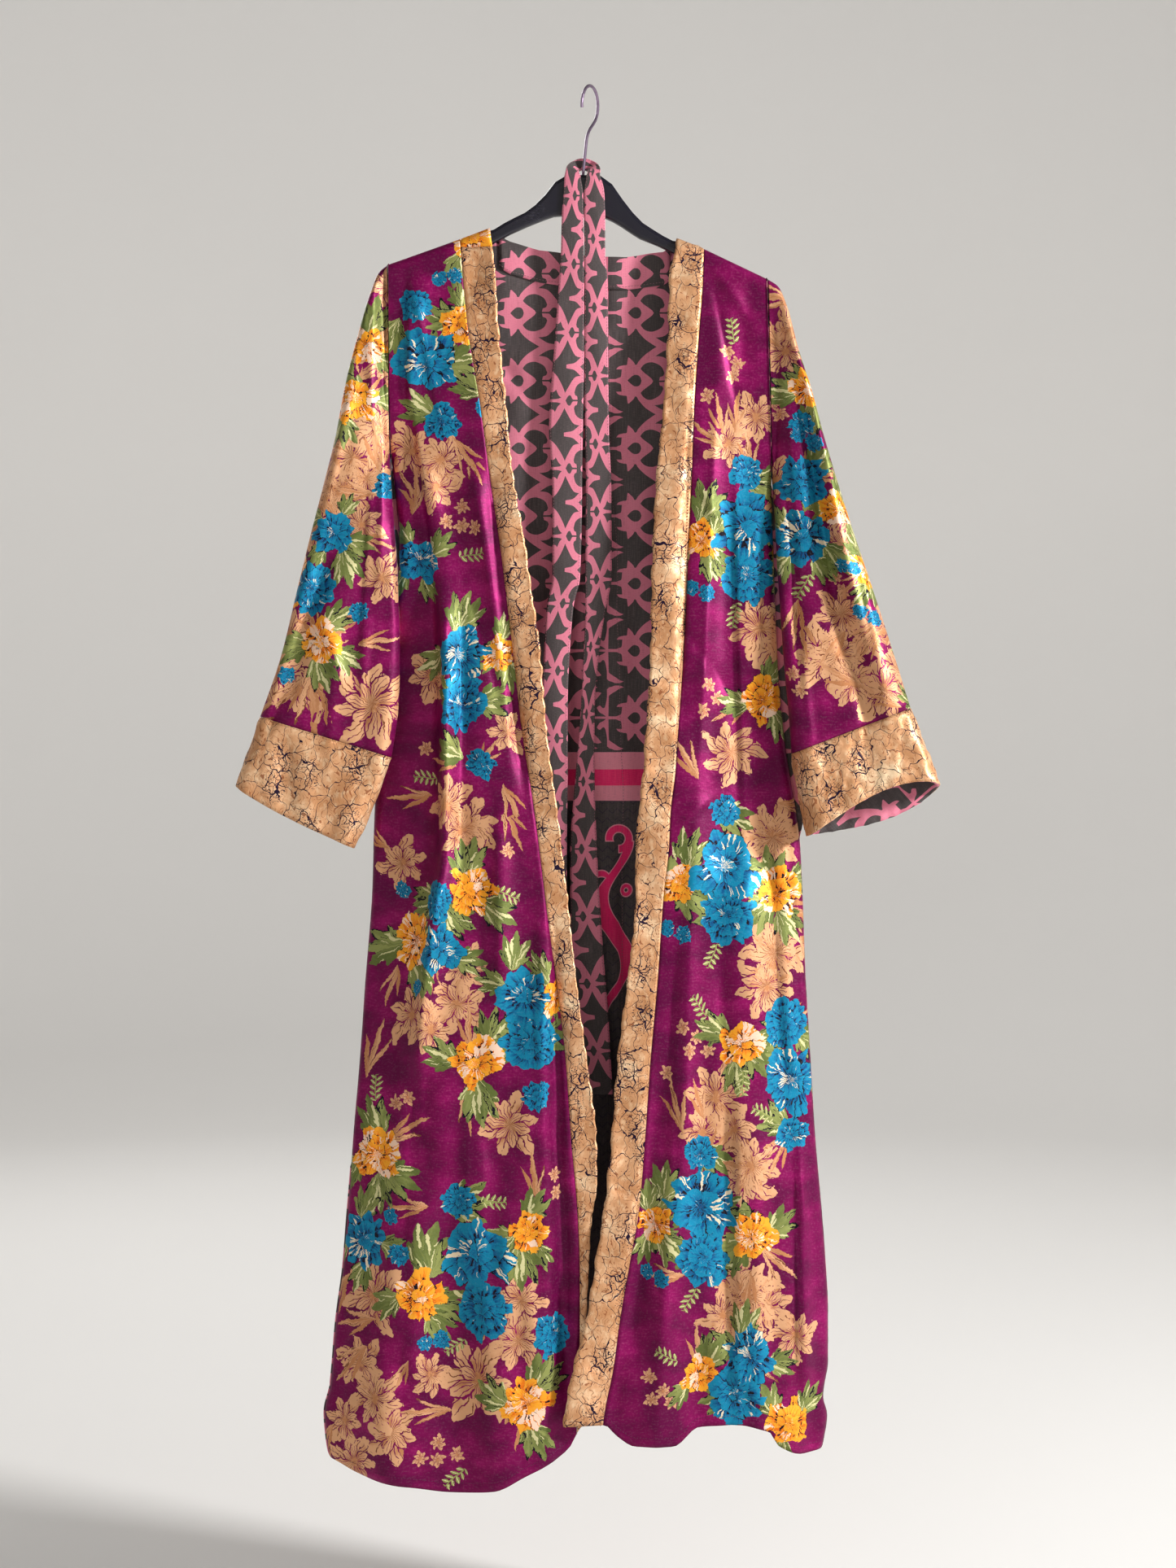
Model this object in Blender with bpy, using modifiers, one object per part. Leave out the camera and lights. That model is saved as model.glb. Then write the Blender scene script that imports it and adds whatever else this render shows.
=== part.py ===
"""Kimono robe of floral satin on a plastic clothes hanger, with its belt hung round the neck of the hanger.

Metres, with +Z up. The robe faces -Y, X runs across the shoulders, and left and right are the wearer's.
The origin is the inner top of the hook, where a rail or a peg carries it. The hanger's middle is at Y = 0.
"""

import math
from collections import namedtuple

import bpy
import numpy as np

MM = 0.001
COLLECTION_NAME = "kimono_robe"

# Cloth walls and the gaps between the pieces
SATIN_WALL = 1.2 * MM
LINING_WALL = 1.0 * MM
BAND_WALL = 1.8 * MM
BELT_WALL = 2.0 * MM
SEAM_GAP = 0.3 * MM
HALF_GAP = SEAM_GAP / 2
EDGE_GAP = 0.35 * MM
LAYER_GAP = 0.5 * MM

# How the cloth lies over the hanger and turns at the side seams
SHOULDER_RADIUS = 10 * MM
SIDE_RADIUS = 10 * MM
UNDERARM_ROUND = 40 * MM
DEPTH_STARTS_OVER = 70 * MM
DEPTH_REACHES_OVER = 75 * MM
EDGE_ANGLES = (0, 9, 35, 62, 90)
TUBE_ANGLES = (0, 40, 90)
MEET_STEPS = 8

# The hanger and its hook
HANGER_HALF_THICKNESS = 5.5 * MM
HANGER_EDGE_RADIUS = 4 * MM
ARM_BELOW_CLOTH = 3.3 * MM
WIRE_RADIUS = 1.65 * MM
HOOK_RADIUS = 20 * MM
HOOK_TURN = math.radians(66)
HOOK_TIP_ANGLE = math.radians(200)
HOOK_LAST_ANGLE = math.radians(-38)
STEM_LEAN = 7.6 / 76
NECK_TOP = -91 * MM

# The neck band and facing of the back, the short print end of one front band, and the hems
NECK_STRIP = 34 * MM
NECK_REACH = 92 * MM
NECK_MIDDLE = -8 * MM
BAND_TOP_END = -168 * MM
BACK_HEM_RISE = 12 * MM
LINING_REACH = (-160 * MM, 140 * MM)

# How a fold fades in below its top end and out past its lower one, as shares of its length
FOLD_LEAD = 0.1
FOLD_FADE_IN = 0.45
FOLD_TAIL = 0.25
FOLD_FADE_OUT = 0.35

# How finely each piece is divided
FRONT_COLUMNS = 7
FRONT_ROWS = 24
BAND_COLUMNS = 3
BACK_SHARES = (
    0.06, 0.12, 0.17, 0.2092, 0.22, 0.2307, 0.27, 0.33, 0.39, 0.45,
    0.51, 0.57, 0.63, 0.685, 0.7208, 0.7343, 0.745, 0.79, 0.85, 0.92,
)
BACK_ROWS = 24
SLEEVE_ROWS = 14
SLEEVE_COLUMNS = 6
CUFF_ROWS = 3
BELT_COLUMNS = 3

# The shoulder line and the armholes, as x and height in millimetres
RIGHT_SHOULDER = ((-106, -146), (-140, -158.8), (-194, -178), (-211, -184))
LEFT_SHOULDER = ((91, -157), (117, -168), (177, -196.6), (182, -199))
RIGHT_UNDERARM = -386 * MM
LEFT_UNDERARM = -411 * MM

# The upper edge of the back neck, as x and height in millimetres
BACK_NECK = (
    (-106, -146), (-103, -147.3), (-99, -150.5), (-87, -158), (-54, -167), (-10, -173),
    (34, -174.5), (75, -169), (84, -162), (88, -158.5), (91, -157),
)
SHOULDERS = RIGHT_SHOULDER[::-1] + LEFT_SHOULDER

# Between the shoulders the back hangs behind the hanger, as if it came over a line this high
BEHIND_HANGER = RIGHT_SHOULDER[::-1] + ((-99, -134), (84, -144)) + LEFT_SHOULDER
BACK_TOP = RIGHT_SHOULDER[:0:-1] + BACK_NECK + LEFT_SHOULDER[1:]

FrontRow = namedtuple("FrontRow", "height side seam free")

# The right front: x of the side seam, the band seam and the band's free edge at each height, in millimetres
RIGHT_FRONT = (
    FrontRow(-146, -212, -138, -106),
    FrontRow(-192, -211, -134, -100),
    FrontRow(-251, -210.5, -128.5, -96.5),
    FrontRow(-335, -209.5, -115, -88),
    FrontRow(-386, -208, -108, -83.5),
    FrontRow(-436, -203, -101, -76),
    FrontRow(-480, -200.5, -94.5, -68),
    FrontRow(-503, -201, -91.5, -65),
    FrontRow(-537, -206, -87.5, -60),
    FrontRow(-587, -213, -81.5, -53),
    FrontRow(-671, -221, -72, -46),
    FrontRow(-755, -226, -58.5, -35),
    FrontRow(-839, -228.5, -48, -25),
    FrontRow(-923, -235, -37, -16),
    FrontRow(-1007, -241, -27, -5),
    FrontRow(-1091, -248, -21, 5),
    FrontRow(-1133, -251, -17, 5.5),
    FrontRow(-1175, -254.5, -14, -0.5),
    FrontRow(-1225, -258.5, -12.5, -3),
    FrontRow(-1283, -266, -12.5, -6),
    FrontRow(-1350, -272, -14, -8),
    FrontRow(-1377, -278, -15, -9),
    FrontRow(-1404, -276, -16, -10),
    FrontRow(-1451, -266, -18, -12),
)

# The wearer's left front, in the same columns
LEFT_FRONT = (
    FrontRow(-150, 180, 118, 91),
    FrontRow(-167, 181, 116.8, 86.5),
    FrontRow(-209, 182.3, 115, 80),
    FrontRow(-251, 183.3, 111.7, 79),
    FrontRow(-335, 185.2, 106, 74),
    FrontRow(-411, 187, 103, 66.5),
    FrontRow(-503, 190, 99, 62),
    FrontRow(-587, 193.2, 95, 60.5),
    FrontRow(-671, 200, 89, 55.5),
    FrontRow(-713, 206, 86, 52.5),
    FrontRow(-755, 213, 81, 48),
    FrontRow(-789, 217, 79.5, 45),
    FrontRow(-839, 219.5, 74, 45),
    FrontRow(-923, 222.6, 68, 37),
    FrontRow(-1007, 227.6, 60.5, 26.5),
    FrontRow(-1091, 232.7, 54.6, 20),
    FrontRow(-1158, 238.6, 49, 12.6),
    FrontRow(-1214, 243, 39, 3.5),
    FrontRow(-1275, 246, 28.5, -6.5),
    FrontRow(-1323, 246, 22, -20),
    FrontRow(-1362, 241, 14, -27),
    FrontRow(-1380, 245, 11.5, -29.5),
    FrontRow(-1420, 239, 10, -30),
)

# The front hems, as x and height in millimetres, from the right side to the left
RIGHT_HEM = (
    (-278, -1422), (-266, -1425), (-241, -1435), (-190, -1443), (-135, -1450.5), (-100, -1447),
    (-73, -1435), (-47, -1422), (-24, -1407), (-13, -1387), (-8, -1381),
)
LEFT_HEM = (
    (-30, -1379), (13, -1379), (25, -1390), (44, -1401), (83, -1401), (109, -1383.5), (147, -1381),
    (182, -1389), (192, -1404.5), (220, -1416), (237, -1414), (248, -1404),
)
BACK_HEM = RIGHT_HEM[:-2] + LEFT_HEM[1:]

DepthRow = namedtuple("DepthRow", "height front back")

# How far the cloth stands out in front of the hanger and behind it, away from the side seams, in millimetres
BODY_DEPTHS = (
    DepthRow(-150, 10, 10),
    DepthRow(-260, 14, 13),
    DepthRow(-420, 22, 17),
    DepthRow(-650, 29, 21),
    DepthRow(-900, 33, 24),
    DepthRow(-1150, 38, 28),
    DepthRow(-1451, 44, 34),
)

ShelfRow = namedtuple("ShelfRow", "height width")

# How wide the thin strip at each side seam is that lies behind or beside the sleeve, in millimetres
SIDE_SHELF = (
    ShelfRow(-150, 0), ShelfRow(-380, 14), ShelfRow(-500, 38),
    ShelfRow(-790, 42), ShelfRow(-860, 10), ShelfRow(-1451, 0),
)

Fold = namedtuple("Fold", "top_x top_z low_x low_z half_width rise")

# Folds, from their top end to their lower one, with half their width and how far they stand out, in
# millimetres. A rise below zero is a trough.
RIGHT_FRONT_FOLDS = (
    Fold(-168, -380, -163, -830, 24, 9),
    Fold(-163, -760, -184, -1000, 18, 7),
    Fold(-178, -1000, -178, -1130, 12, -6),
    Fold(-108, -430, -78, -700, 12, -6),
    Fold(-95, -740, -95, -930, 14, 5),
    Fold(-45, -880, -32, -1390, 9, -9),
    Fold(-66, -960, -52, -1430, 16, 7),
    Fold(-205, -1080, -225, -1440, 26, 8),
    Fold(-150, -1150, -140, -1450, 30, -8),
    Fold(-95, -1180, -92, -1450, 20, 6),
)
LEFT_FRONT_FOLDS = (
    Fold(165, -230, 150, -520, 20, 4),
    Fold(140, -300, 128, -760, 18, -4),
    Fold(165, -560, 178, -980, 22, 6),
    Fold(120, -800, 118, -1150, 26, -4),
    Fold(150, -1060, 148, -1370, 18, -8),
    Fold(216, -1100, 218, -1420, 16, 9),
    Fold(185, -1120, 187, -1400, 12, -6),
    Fold(84, -1150, 68, -1400, 26, 8),
    Fold(112, -1230, 110, -1385, 16, -6),
)
BACK_FOLDS = (
    Fold(-150, -330, -165, -1400, 30, 7),
    Fold(-105, -420, -100, -1400, 24, -6),
    Fold(-55, -380, -50, -1400, 30, 6),
    Fold(-5, -300, -5, -1380, 14, -4),
    Fold(50, -400, 52, -1390, 26, 7),
    Fold(100, -520, 108, -1390, 24, -6),
    Fold(150, -380, 165, -1400, 28, 7),
    Fold(-210, -900, -225, -1420, 22, 7),
    Fold(205, -950, 215, -1400, 22, -5),
)

# Near the hem the wearer's left front laps over the right one
LapRow = namedtuple("LapRow", "height right left")
LAP = (LapRow(-150, 0, 0), LapRow(-1100, 0, 0), LapRow(-1220, 5, 7), LapRow(-1451, 7, 10))
LAP_REACH = 90 * MM

SleeveRow = namedtuple("SleeveRow", "outer_x outer_z inner_x inner_z centre_y half_depth")

# Sections of a sleeve from the armhole to the cuff seam, from its outer to its inner edge, in millimetres
RIGHT_SLEEVE = (
    SleeveRow(-212.2, -184.3, -209.7, -386, 0, 10),
    SleeveRow(-221, -192, -208.8, -402, 0, 10),
    SleeveRow(-231, -219, -206.8, -428, -7, 10),
    SleeveRow(-243, -264, -204.8, -453, -14, 10.5),
    SleeveRow(-254, -310, -202, -480, -19, 11),
    SleeveRow(-264, -365, -200, -507, -22, 11.5),
    SleeveRow(-277, -419, -199, -537, -24, 12),
    SleeveRow(-290, -470, -197.5, -569, -25, 12.5),
    SleeveRow(-303, -524, -197.5, -604, -26, 13),
    SleeveRow(-320, -594, -199, -648, -26.5, 13.5),
    SleeveRow(-341, -655, -206, -697, -27, 14),
)
RIGHT_CUFF_END = SleeveRow(-364.5, -726.5, -244, -790.5, -27, 15)
LEFT_SLEEVE = (
    SleeveRow(183.2, -199.5, 187.8, -411, 0, 10),
    SleeveRow(194, -207, 188.8, -424, 0, 10),
    SleeveRow(203.5, -230, 190, -444, -4, 10.5),
    SleeveRow(214, -272, 191, -469.5, -8, 11),
    SleeveRow(227, -314, 192, -498, -11, 11.5),
    SleeveRow(240, -364.5, 194, -528, -14, 12),
    SleeveRow(254.5, -414, 196, -560, -16, 13),
    SleeveRow(271, -467, 198, -592, -18, 14),
    SleeveRow(288, -518, 200, -619, -20, 15),
    SleeveRow(308, -580, 203, -650, -22, 16),
    SleeveRow(328.5, -646, 206, -693, -23, 17),
)
LEFT_CUFF_END = SleeveRow(358.5, -726.5, 222.5, -778, -24, 20)
SLEEVE_EDGE_ROUND = 14 * MM
SLEEVE_ROUND_REACH = 0.25

# How far a cuff's front and back layers hang below the line between its two edges
CUFF_BOWS = {"right": (4 * MM, 2 * MM), "left": (-17 * MM, 14 * MM)}
CUFF_BOW_SKEW = 0.7

SLEEVE_FOLDS = {
    "right": (
        Fold(-212, -200, -210, -300, 8, -4),
        Fold(-234, -300, -262, -430, 10, 4),
        Fold(-268, -493, -312, -640, 9, -6),
        Fold(-240, -450, -280, -660, 16, 4),
    ),
    "left": (
        Fold(215, -330, 262, -600, 12, -4),
        Fold(232, -400, 300, -640, 14, 4),
        Fold(205, -520, 230, -680, 10, -4),
    ),
}

BeltRow = namedtuple("BeltRow", "height y left_edge left_inner right_inner right_edge")

# The belt's two strands below the hanger's neck: depth, and x of the four edges, in millimetres
BELT_ROWS = (
    BeltRow(-91, -8.3, -28, -12, -5, 8),
    BeltRow(-110, -8.3, -29, -10.5, -6.5, 13),
    BeltRow(-136, -8.3, -31, -10, -6.5, 14),
    BeltRow(-173, -7, -32, -9.5, -6, 14),
    BeltRow(-202, -4, -34, -9.5, -6, 16.5),
    BeltRow(-264, -1, -38.5, -9.5, -6, 17),
    BeltRow(-354, 2, -44.5, -10, -6, 18),
    BeltRow(-418, 3, -41, -10, -6, 20.5),
    BeltRow(-508, 4, -41, -12, -6.5, 21),
    BeltRow(-540, 5, -47, -19, -6.5, 15),
    BeltRow(-590, 6, -50, -23, -8.5, 7.5),
    BeltRow(-640, 7, -52, -25, -11, 3.5),
    BeltRow(-705, 8, -51, -25, -16, 3),
    BeltRow(-800, 9, -48, -26, -22.5, 6),
    BeltRow(-883, 10, -45, -26, -22.5, 11),
    BeltRow(-975, 10, -38, -20, -14, 18),
    BeltRow(-1049, 10, -30, -12, -5.5, 22),
)

# The belt's turn behind the stem: the middle it turns round, its height outside and inside, and its depth
BELT_TURN_MIDDLE = (-8.8 * MM, -88.5 * MM)
BELT_TURN_OUTER = (18 * MM, 16 * MM)
BELT_TURN_INNER = (5 * MM, 4 * MM)
BELT_FRONT = -8.3 * MM
BELT_BEHIND_STEM = 2.8 * MM
BELT_BEHIND_FROM = 0.85
BELT_BEHIND_POWER = 1.6
BELT_TURN_STEPS = 10
BELT_BOW = 1.2 * MM

# How far below the origin the rows of the belt's strands lie, in millimetres
BELT_STEPS = (
    93, 110, 136, 173, 202, 240, 290, 354, 418, 470, 508, 540, 590, 640, 705, 800, 883, 975, 1049,
)

# The hanger's outline, as x and height in millimetres, drawn one edge radius inside its silhouette
CROWN_TOP = (
    (-100, -151.3), (-86, -142.6), (-64, -132), (-50, -120), (-38.5, -106), (-33, -98), (-26, -95),
    (6, -95), (12, -97), (19, -104), (24, -111), (34, -126.5), (50, -143.5), (70, -156.5), (83, -163.2),
)
CROWN_LOWER = (
    (-86, -149), (-65, -139.6), (-52, -134.6), (-42, -130.5), (-31, -129.6),
    (15, -132), (28, -138), (50, -153), (70, -161),
)
ARM_HEIGHT = 14.5 * MM
ARM_ENDS = (-208 * MM, 179 * MM)
ARM_OUTLINE_STEPS = 8
CROWN_OUTLINE_STEPS = 18

# The hook's curve below its round part, in the plane of the hook
HOOK_EASE = 12 * MM
STEM_STARTS = -44 * MM
STEM_JOINS = -56 * MM
HOOK_ARC_STEPS = 18
HOOK_EASE_STEPS = 7

Finish = namedtuple("Finish", "name colour roughness metallic")

FLORAL = Finish("floral_satin", (0.20, 0.02, 0.16, 1), 0.35, 0.0)
CRACKLE = Finish("crackle_satin", (0.60, 0.36, 0.20, 1), 0.40, 0.0)
LINING = Finish("printed_lining", (0.42, 0.13, 0.19, 1), 0.75, 0.0)
PLASTIC = Finish("hanger_plastic", (0.015, 0.013, 0.022, 1), 0.30, 0.0)
STEEL = Finish("hook_steel", (0.30, 0.25, 0.30, 1), 0.35, 0.9)


def clear_scene():
    for item in list(bpy.data.objects):
        bpy.data.objects.remove(item, do_unlink=True)


def new_collection(name):
    collection = bpy.data.collections.new(name)
    bpy.context.scene.collection.children.link(collection)
    return collection


def material(finish):
    """The one material of this finish, made when it is first asked for."""
    found = bpy.data.materials.get(finish.name)
    if found:
        return found
    made = bpy.data.materials.new(finish.name)
    made.use_nodes = True
    shader = made.node_tree.nodes["Principled BSDF"]
    shader.inputs["Base Color"].default_value = finish.colour
    shader.inputs["Roughness"].default_value = finish.roughness
    shader.inputs["Metallic"].default_value = finish.metallic
    return made


def curve(keys, values, at):
    """Smooth values between the rows of a table, with no overshoot, read at any keys."""
    keys = np.asarray(keys, float)
    values = np.asarray(values, float)
    if keys[0] > keys[-1]:
        keys = keys[::-1]
        values = values[::-1]
    steps = np.diff(keys)
    rises = np.diff(values) / steps
    slopes = np.zeros(len(keys))
    slopes[0] = rises[0]
    slopes[-1] = rises[-1]
    both = rises[:-1] * rises[1:]
    total = rises[:-1] + rises[1:]
    level = both <= 0
    slopes[1:-1] = np.where(level, 0, 2 * both / np.where(level, 1, total))
    at = np.clip(at, keys[0], keys[-1])
    index = np.clip(np.searchsorted(keys, at) - 1, 0, len(steps) - 1)
    span = steps[index]
    t = (at - keys[index]) / span
    start = values[index] * (1 + 2 * t) * (1 - t) ** 2 + span * slopes[index] * t * (1 - t) ** 2
    end = values[index + 1] * t**2 * (3 - 2 * t) + span * slopes[index + 1] * t**2 * (t - 1)
    return start + end


def read(table, column, at):
    """One column of a table of millimetre rows, in metres, at the heights given."""
    heights = [row.height * MM for row in table]
    return curve(heights, [getattr(row, column) * MM for row in table], at)


def along(points, at):
    """The height of a line of (x, height) points, in metres, at the x given."""
    xs, heights = zip(*sorted(points))
    return np.interp(at, np.array(xs) * MM, np.array(heights) * MM)


def rounded(distance, radius):
    """0 at the edge, rising along a quarter circle to 1 at one radius from it."""
    t = np.clip(distance / radius, 0, 1)
    return np.sqrt(1 - (1 - t) ** 2)


def eased(distance, reach):
    t = np.clip(distance / reach, 0, 1)
    return t * t * (3 - 2 * t)


def fold_rise(folds, x, z):
    """The sum of the folds at these points: each is a bell across and fades out at its two ends."""
    total = np.zeros_like(x)
    for fold in folds:
        t = (z / MM - fold.top_z) / (fold.low_z - fold.top_z)
        middle = fold.top_x + (fold.low_x - fold.top_x) * t
        across = (x / MM - middle) / fold.half_width
        fade = eased(t + FOLD_LEAD, FOLD_FADE_IN) * eased(1 + FOLD_TAIL - t, FOLD_FADE_OUT)
        total += fold.rise * MM * np.exp(-(across**2)) * fade
    return total


def rounding_steps(radius, angles=EDGE_ANGLES):
    """Distances from an edge that step round a quarter circle."""
    return [radius * (1 - math.cos(math.radians(angle))) for angle in angles]


def down_steps(length, count, *stops):
    """Distances down from a shoulder line: close together round it, at any stops, then even to the end."""
    first = np.array(rounding_steps(SHOULDER_RADIUS) + list(stops))
    return np.concatenate([first, np.linspace(first[-1], length, count + 1)[1:]])


def side_columns(count):
    """Columns from a rounded side edge: each is a share of the way across and a shift in metres."""
    turn = [(0, step) for step in rounding_steps(SIDE_RADIUS)]
    return turn + [(k / count, SIDE_RADIUS * (1 - k / count)) for k in range(1, count + 1)]


def even_columns(count):
    return [(k / count, 0) for k in range(count + 1)]


def depth_at(x, z, top, side, underarm, column, folds):
    """How far the body cloth stands from the hanger's middle plane, at points of the front or the back."""
    drop = np.maximum(top - z, 0)
    inset = np.abs(x - side)
    over = rounded(drop, SHOULDER_RADIUS)
    armhole = over * rounded(np.maximum(z - underarm, 0), UNDERARM_ROUND)
    turned = armhole + (over - armhole) * rounded(inset - SEAM_GAP, SIDE_RADIUS)
    shelf = read(SIDE_SHELF, "width", z)
    inside = eased(inset - shelf, DEPTH_REACHES_OVER) * eased(drop, DEPTH_STARTS_OVER)
    extra = read(BODY_DEPTHS, column, z) - SHOULDER_RADIUS
    return EDGE_GAP + SHOULDER_RADIUS * turned + inside * (extra + fold_rise(folds, x, z))


class Front:
    """One front of the robe: its tables, its side of the body, and where each point of it lies."""

    def __init__(self, side, rows, shoulder, hem, underarm, folds):
        self.side = side
        self.inward = 1 if side == "right" else -1
        self.rows = rows
        self.shoulder = shoulder
        self.hem = hem
        self.underarm = underarm
        self.folds = folds

    def across(self, edges, column, z):
        """x of one column between two edges, such as the side seam and the band seam."""
        share, shift = column
        first = read(self.rows, edges[0], z)
        return first + (read(self.rows, edges[1], z) - first) * share + self.inward * shift

    def meet(self, line, edges, column):
        """The height at which one column meets a line such as the shoulder or the hem."""
        height = line[-1][1] * MM
        for _ in range(MEET_STEPS):
            height = along(line, self.across(edges, column, height))
        return height

    def strip(self, edges, columns, rows, first=None, last=None):
        """A grid between two edges, from the shoulder or a first height down to a last height or the hem."""
        lines = []
        for column in columns:
            top = self.meet(self.shoulder, edges, column)
            low = self.meet(self.hem, edges, column) if last is None else last
            z = top - down_steps(top - low, rows) if first is None else np.linspace(first, low, rows + 1)
            lines.append(self.place(self.across(edges, column, z), z, top))
        grid = np.stack(lines, axis=1)
        return grid if self.inward > 0 else grid[:, ::-1]

    def place(self, x, z, top):
        """The points of the outer face at these x and heights."""
        side = read(self.rows, "side", z)
        depth = depth_at(x, z, top, side, self.underarm, "front", self.folds)
        near = 1 - eased(np.abs(x - read(self.rows, "free", z)), LAP_REACH)
        depth = depth - self.inward * near * read(LAP, self.side, z)
        return np.stack([x, -depth, z], axis=-1)


RIGHT = Front("right", RIGHT_FRONT, RIGHT_SHOULDER, RIGHT_HEM, RIGHT_UNDERARM, RIGHT_FRONT_FOLDS)
LEFT = Front("left", LEFT_FRONT, LEFT_SHOULDER, LEFT_HEM, LEFT_UNDERARM, LEFT_FRONT_FOLDS)


def held_back(columns, at_first, at_last):
    """The columns with the first and the last one moved into the strip, to leave a seam's gap."""
    (first, shift), (last, last_shift) = columns[0], columns[-1]
    return [(first, shift + at_first)] + columns[1:-1] + [(last, last_shift - at_last)]


def back_across(column, z):
    """x of one column of the back, counted from the wearer's left side seam to the right one."""
    share, shift = column
    left_side = read(LEFT_FRONT, "side", z) - SEAM_GAP
    right_side = read(RIGHT_FRONT, "side", z) + SEAM_GAP
    return left_side + (right_side - left_side) * share - shift


def back_place(x, z):
    """The points of the back's outer face at these x and heights."""
    left_side = read(LEFT_FRONT, "side", z)
    right_side = read(RIGHT_FRONT, "side", z)
    on_left = x > (left_side + right_side) / 2
    side = np.where(on_left, left_side, right_side)
    underarm = np.where(on_left, LEFT_UNDERARM, RIGHT_UNDERARM)
    depth = depth_at(x, z, along(BEHIND_HANGER, x), side, underarm, "back", BACK_FOLDS)
    return np.stack([x, depth, z], axis=-1)


def back_grid():
    """The back's outer face, from the wearer's left side seam to the right one."""
    turn = [(0, step) for step in rounding_steps(SIDE_RADIUS)]
    middle = [(share, SIDE_RADIUS * (1 - 2 * share)) for share in BACK_SHARES]
    columns = turn + middle + [(1, -step) for _, step in turn[::-1]]
    lines = []
    for column in columns:
        top = BACK_NECK[0][1] * MM
        low = BACK_HEM[0][1] * MM
        for _ in range(MEET_STEPS):
            top = along(BACK_TOP, back_across(column, top))
            low = along(BACK_HEM, back_across(column, low)) + BACK_HEM_RISE
        z = top - down_steps(top - low, BACK_ROWS, NECK_STRIP)
        lines.append(back_place(back_across(column, z), z))
    return np.stack(lines, axis=1)


def moved(grid, distance, wrap=False):
    """The grid's points moved outwards along its normals, or inwards where the distance is below zero."""
    down = np.gradient(grid, axis=0)
    if wrap:
        along_row = np.roll(grid, -1, axis=1) - np.roll(grid, 1, axis=1)
    else:
        along_row = np.gradient(grid, axis=1)
    normal = np.cross(down, along_row)
    return grid + distance * normal / np.linalg.norm(normal, axis=-1, keepdims=True)


def sleeve_sections(table):
    """The sleeve's sections in metres, read evenly between the rows of its table."""
    keys = np.arange(len(table))
    at = np.linspace(0, len(table) - 1, SLEEVE_ROWS)
    return np.stack([curve(keys, np.array(column) * MM, at) for column in zip(*table)], axis=1)


def cuff_sections(last, end):
    """The cuff's sections, from just below the sleeve's last one to the mouth."""
    end = np.array(end) * MM
    start = last + (end - last) * SEAM_GAP / np.hypot(*(end[:2] - last[:2]))
    return np.stack([start + (end - start) * k / CUFF_ROWS for k in range(CUFF_ROWS + 1)])


def tube(sections, side, outer_rounds, inner_rounds, bows=(0, 0)):
    """A flattened tube: each row runs from its outer edge across the front to its inner edge and back."""
    rows = []
    down = sections[-1] - sections[0]
    down = np.array([down[0] + down[2], down[1] + down[3]])
    down = down / np.hypot(*down)
    for number, (outer_x, outer_z, inner_x, inner_z, centre, half_depth) in enumerate(sections):
        length = math.hypot(inner_x - outer_x, inner_z - outer_z)
        outer = np.array(rounding_steps(outer_rounds[number], TUBE_ANGLES))
        inner = length - np.array(rounding_steps(inner_rounds[number], TUBE_ANGLES))[::-1]
        middle = np.linspace(outer[-1], inner[0], SLEEVE_COLUMNS + 1)[1:-1]
        steps = np.concatenate([outer, middle, inner])
        share = steps / length
        bulge = rounded(steps, outer_rounds[number]) * rounded(length - steps, inner_rounds[number])
        x = outer_x + (inner_x - outer_x) * share
        z = outer_z + (inner_z - outer_z) * share
        lean = np.sin(np.pi * share**CUFF_BOW_SKEW) * (number / (len(sections) - 1)) ** 2
        layers = []
        for facing, bow in zip((-1, 1), bows):
            layer_x = x + down[0] * bow * lean
            layer_z = z + down[1] * bow * lean
            rise = fold_rise(SLEEVE_FOLDS[side], layer_x, layer_z) if facing < 0 else 0
            layer_y = centre + facing * bulge * (half_depth + rise)
            layers.append(np.stack([layer_x, layer_y, layer_z], axis=-1))
        rows.append(np.concatenate([layers[0], layers[1][-2:0:-1]]))
    grid = np.stack(rows)
    return grid if side == "right" else grid[:, ::-1]


def belt_grid():
    """The belt from the end of one strand, up, round behind the stem and down: rows from inner to outer edge."""
    heights = [row.height * MM for row in BELT_ROWS]
    z = -np.array(BELT_STEPS) * MM
    shares = np.linspace(0, 1, BELT_COLUMNS + 1)
    y = curve(heights, [row.y * MM for row in BELT_ROWS], z)
    strands = []
    for names in (("left_inner", "left_edge"), ("right_inner", "right_edge")):
        inner, outer = (read(BELT_ROWS, name, z)[:, None] for name in names)
        x = inner + (outer - inner) * shares
        depth = y[:, None] - BELT_BOW * np.sin(np.pi * shares)
        strands.append(np.stack([x, depth, np.broadcast_to(z[:, None], x.shape)], axis=-1))
    turn = []
    for k in range(1, BELT_TURN_STEPS):
        angle = math.pi * (1 - k / BELT_TURN_STEPS)
        wide = BELT_TURN_INNER[0] + (BELT_TURN_OUTER[0] - BELT_TURN_INNER[0]) * shares
        tall = BELT_TURN_INNER[1] + (BELT_TURN_OUTER[1] - BELT_TURN_INNER[1]) * shares
        x = BELT_TURN_MIDDLE[0] + wide * math.cos(angle)
        height = BELT_TURN_MIDDLE[1] + tall * math.sin(angle)
        behind = min(1, math.sin(angle) / BELT_BEHIND_FROM) ** BELT_BEHIND_POWER
        depth = BELT_FRONT + (BELT_BEHIND_STEM - BELT_FRONT) * behind
        turn.append(np.stack([x, np.full_like(x, depth), height], axis=-1))
    return np.concatenate([strands[0][::-1], np.stack(turn), strands[1]])


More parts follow.
